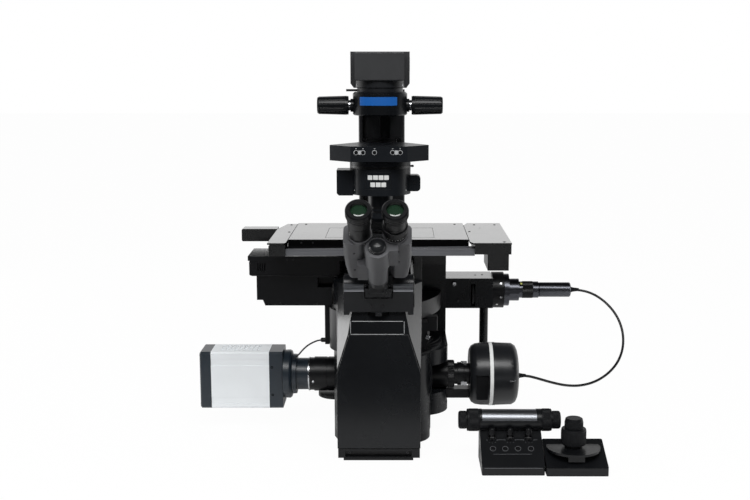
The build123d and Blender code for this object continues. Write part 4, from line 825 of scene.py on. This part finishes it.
def illuminator_details():
    """The lever, wheel rim, screws, marks and cord ends of the reflected-light illuminator."""
    lever = [(2.2, -0.5), (2.2, 4), (4.4, 4.6), (4.8, 8), (3.8, 9.5), (0, 9.8)]
    piece("shutter_lever", "root", "satin_chrome",
          [lathe(on_front(454, 283.3, ILLUMINATOR_FRONT), lever)])
    screws("illuminator_front_screws", "root", [on_front(457.7, 300.5, ILLUMINATOR_FRONT)], 3.0,
           kind=domed_screw)
    wheel_axis = (ILLUMINATOR_FRONT + 14, ILLUMINATOR_AXIS[1] - 4)
    piece("wheel_rim", "attenuator_wheel", "dark_steel",
          [band(along_x(186.5, wheel_axis), 21.9, 22.3, -2.4, 2.4, ease=0.3, segments=96,
                teeth=0.6)])
    screws("illuminator_top_screws", "root", [on_top(475, 275, 252), on_top(482, 274.6, 252)], 2.0)

    def flange_spot(u, v):
        return on_barrel(u, v, ILLUMINATOR_AXIS, 37.4)

    screws("flange_screws", "root", [flange_spot(501, v) for v in (283.5, 297.5)], 2.4,
           "satin_chrome")
    piece("flange_mark", "root", "white_mark", [plate(flange_spot(496.9, 304.4), 4, 4, 0.4, 0.25)])
    piece("guide_mark", "root", "yellow_mark",
          [dot(on_barrel(521.3, 283.6, ILLUMINATOR_AXIS, 23), 2.2)])
    guide = along_x(0, ILLUMINATOR_AXIS)
    piece("guide_grip", "root", "black_moulding",
          [band(guide, 17.0, 17.6, 290, 312.5, segments=96, teeth=0.5)])
    relief = [(2.55, 389), (6.6, 389), (6.2, 392), (4.6, 396), (3.6, 404), (2.9, 409), (2.55, 409)]
    piece("guide_strain_relief", "root", "grip_rubber", [lathe(guide, relief, closed=True)])
    relief = [(2.55, 259), (6.2, 259), (6.0, 262), (4.4, 266), (3.4, 273), (2.9, 277), (2.55, 277)]
    piece("camera_strain_relief", "root", "grip_rubber",
          [lathe(along_x(0, (0, 97)), relief, closed=True)])


def camera_details():
    """The screws, connectors, clamps, knurled ring and pale band of the two port cameras."""
    screws("camera_screws", "root", [on_front(271.9, 367.4, -32), on_front(272.8, 394.8, -32)], 2.4,
           "black_and_painted_shade")
    screws("coupler_screws", "root", [on_barrel(313, 382, PORT_AXIS, 32.4)], 2.4, "satin_chrome")
    ends = [facing((LEFT_CAMERA_END, y, z), LEFT) for y in (-26, 26) for z in (50, 143)]
    screws("camera_end_screws", "root", ends, 2.0)
    socket = [(9, -0.5), (9, 2), (8, 3), (6.5, 3), (6.2, 0.5), (0, 0.5)]
    piece("camera_socket", "root", "black_moulding",
          [lathe(facing((LEFT_CAMERA_END, 8, 118), LEFT), socket),
           plate(facing((LEFT_CAMERA_END, 8, 76), LEFT), 14, 20, 2, 1.6)])
    port = along_x(0, PORT_AXIS)
    piece("adapter_knurl", "root", "black_moulding",
          [band(port, 25.3, 26.1, 127, 139, segments=96, teeth=0.8)])
    piece("adapter_clamps", "root", "satin_chrome",
          [plate(on_barrel(463.8, v, PORT_AXIS, 22), 11.5, tall, 1.2, 2.0)
           for v, tall in ((362.3, 6.5), (382.9, 11))])
    piece("drum_panel", "root", "black_moulding",
          [plate(facing((190.5, -52.6, 87.5)), 22, 46, 2, 0.8)])
    piece("drum_catch", "root", "satin_chrome",
          [plate(on_barrel(512.8, 381, PORT_AXIS, 58.6), 11, 2.6, 1.2, 0.9)])
    core = [(37.4, 209.2), (59.9, 209.2), (59.9, 216.2), (37.4, 216.2)]
    piece("drum_core", "root", "slate_paint", [lathe(port, core, closed=True, segments=96)])
    piece("drum_band", "root", "band_metal",
          [band(port, 59.5, 60.2, 204.8, 211.5, ease=0.2, segments=128)])
    drum_back, hole_circle = 259.5, 34
    back = [facing((drum_back, hole_circle * math.cos(a), PORT_AXIS[1] + hole_circle * math.sin(a)),
                   RIGHT) for a in [math.radians(45 + 90 * i) for i in range(4)]]
    screws("drum_back_screws", "root", back, 2.4, kind=domed_screw)
    plug = [(1.55, 0), (4.2, 0), (4.2, 6), (3.4, 8), (1.55, 9)]
    piece("wire_plug", "root", "black_moulding",
          [lathe(along_x(-102.3, (-45, 178), LEFT), plug, closed=True)])


def controller_details():
    """The focus controller's lines, dials and rings, and the ribs of both controllers' knobs."""
    lines = []
    for v, left_u, right_u in ((439.8, 486.5, 537.5), (454.2, 493, 532)):
        low, high = on_pad(left_u, v), on_pad(right_u, v)
        middle = PAD_FACE @ Matrix.Translation(((low.x + high.x) / 2, low.y, 0))
        lines.append(plate(middle, high.x - low.x, 0.7, 0.3, 0.15))
    piece("pad_lines", "root", "faint_mark_and_highlight", lines)
    dials = [PAD_FACE @ Matrix.Translation((x, 62, 0)) for x in (195.2, 226.2, 257.9)]
    dial = [(5.6, -0.2), (8.4, -0.2), (8.4, 0.6), (7.8, 1.1), (6.2, 1.1), (5.6, 0.6)]
    piece("pad_dials", "root", "black_moulding",
          [lathe(place, dial, closed=True) for place in dials])
    turns = [Matrix.Rotation(math.radians(angle), 4, "Z") for angle in (-150, -120, -90, -60, -30)]
    outward = Matrix.Translation((10.4, 0, 0))
    piece("pad_dial_ticks", "root", "faint_mark_and_highlight",
          [plate(place @ turn @ outward, 1.8, 0.5, 0.2, 0.12) for place in dials for turn in turns])
    ring = [(4.45, -0.2), (5.3, -0.2), (5.3, 0.25), (4.9, 0.5), (4.45, 0.3)]
    piece("pad_button_rings", "root", "faint_mark_and_highlight",
          [lathe(PAD_FACE @ Matrix.Translation((x, 39.5, 0)), ring, closed=True)
           for x in (195.6, 216.6, 238.3, 260.5)])
    # A dim strip along the case's front edge: a painted highlight
    piece("pad_front_edge_highlight", "root", "faint_mark_and_highlight",
          [plate(facing((228, -276, 13.0)), 98, 0.9, 0.4, 0.3)])
    tube = along_x(0, PAD_TUBE_AXIS)
    piece("coarse_ring_ribs", "coarse_rings", "grip_rubber",
          [band(tube, 19.1, 19.6, start, end, segments=120, teeth=0.5)
           for start, end in ((156, 172.5), (283.5, 297))])
    piece("fine_knob_ribs", "fine_knobs", "grip_rubber",
          [band(tube, 15.1, 15.55, start, end, segments=96, teeth=0.45)
           for start, end in ((141, 151), (301.5, 312.5))])
    for name, radius, start, end in (("lower", 21.2, 45, 65.5), ("upper", 15.6, 71.5, 81)):
        piece(f"stage_knob_{name}_ribs", f"stage_knob_{name}", "grip_rubber",
              [band(STAGE_KNOBS, radius - 0.1, radius + 0.45, start, end, segments=110, teeth=0.5)])


def objective_details():
    """A coloured band and a knurled ring on each objective."""
    tilt = math.radians(15)
    circle, turret_z = 34, 318
    turret = (Matrix.Translation((0, 0, turret_z - circle / math.sin(tilt)))
              @ Matrix.Rotation(tilt, 4, "X")
              @ Matrix.Translation((0, 0, circle / math.tan(tilt))))
    keys = ("white_mark", "yellow_mark", "blue_plate", "white_mark", "yellow_mark", "blue_plate")
    for index, key in enumerate(keys):
        seat = (turret @ Matrix.Rotation(math.radians(90 + index * 60), 4, "Z")
                @ Matrix.Translation((circle, 0, 0)) @ Matrix.Rotation(tilt, 4, "Y"))
        piece(f"objective_{index + 1}_band", "nosepiece", key,
              [band(seat, 13.0, 13.2, 22, 23.4, ease=0.1)])
        piece(f"objective_{index + 1}_knurl", "nosepiece", "dark_steel",
              [band(seat, 13.0, 13.35, 5, 10, ease=0.3, segments=90, teeth=0.35)])


LIGHT_GUIDE_ROUTE = (
    (384.7, 217, 221), (408, 217, 221), (438, 211, 214), (464, 198, 197), (483, 179, 174),
    (492, 160, 147), (490, 138, 119), (477, 115, 95), (454, 91, 77), (424, 68, 65.5), (391, 47, 63),
    (359, 29, 68.5), (328, 15, 79), (300, 5, 90), (278, 0, 97), (256, 0, 97))
PORT_WIRE_ROUTE = (
    (-102.3, -45, 178), (-113, -45, 178), (-125, -43, 173), (-136, -40, 166), (-146, -36, 156),
    (-154, -31, 145), (-165, -26, 136))

camera()
cord("light_guide_cord", LIGHT_GUIDE_ROUTE, 5.0, MATERIALS["cable_jacket"])
cord("port_wire", PORT_WIRE_ROUTE, 3.0, MATERIALS["cable_jacket"])
world()
floor()
lamp("key_front", (0.0, -1.5, 1.9), (0, -0.1, 0.3), 2.0, 0.7, 34)
lamp("low_front", (0.0, -1.75, 0.07), (0, 0, 0.2), 2.4, 0.12, 1.2)
lamp("rim_left", (-1.9, 0.8, 0.17), (0, 0, 0.17), 1.3, 0.32, 9)
lamp("rim_right", (2.1, 0.8, 0.17), (0, 0, 0.17), 1.2, 0.32, 3)
dress_nodes()
for details in (lamp_details, condenser_details, head_details, stand_front_details,
                stand_panel_details, stage_details, drift_details, illuminator_details,
                camera_details, controller_details, objective_details):
    details()
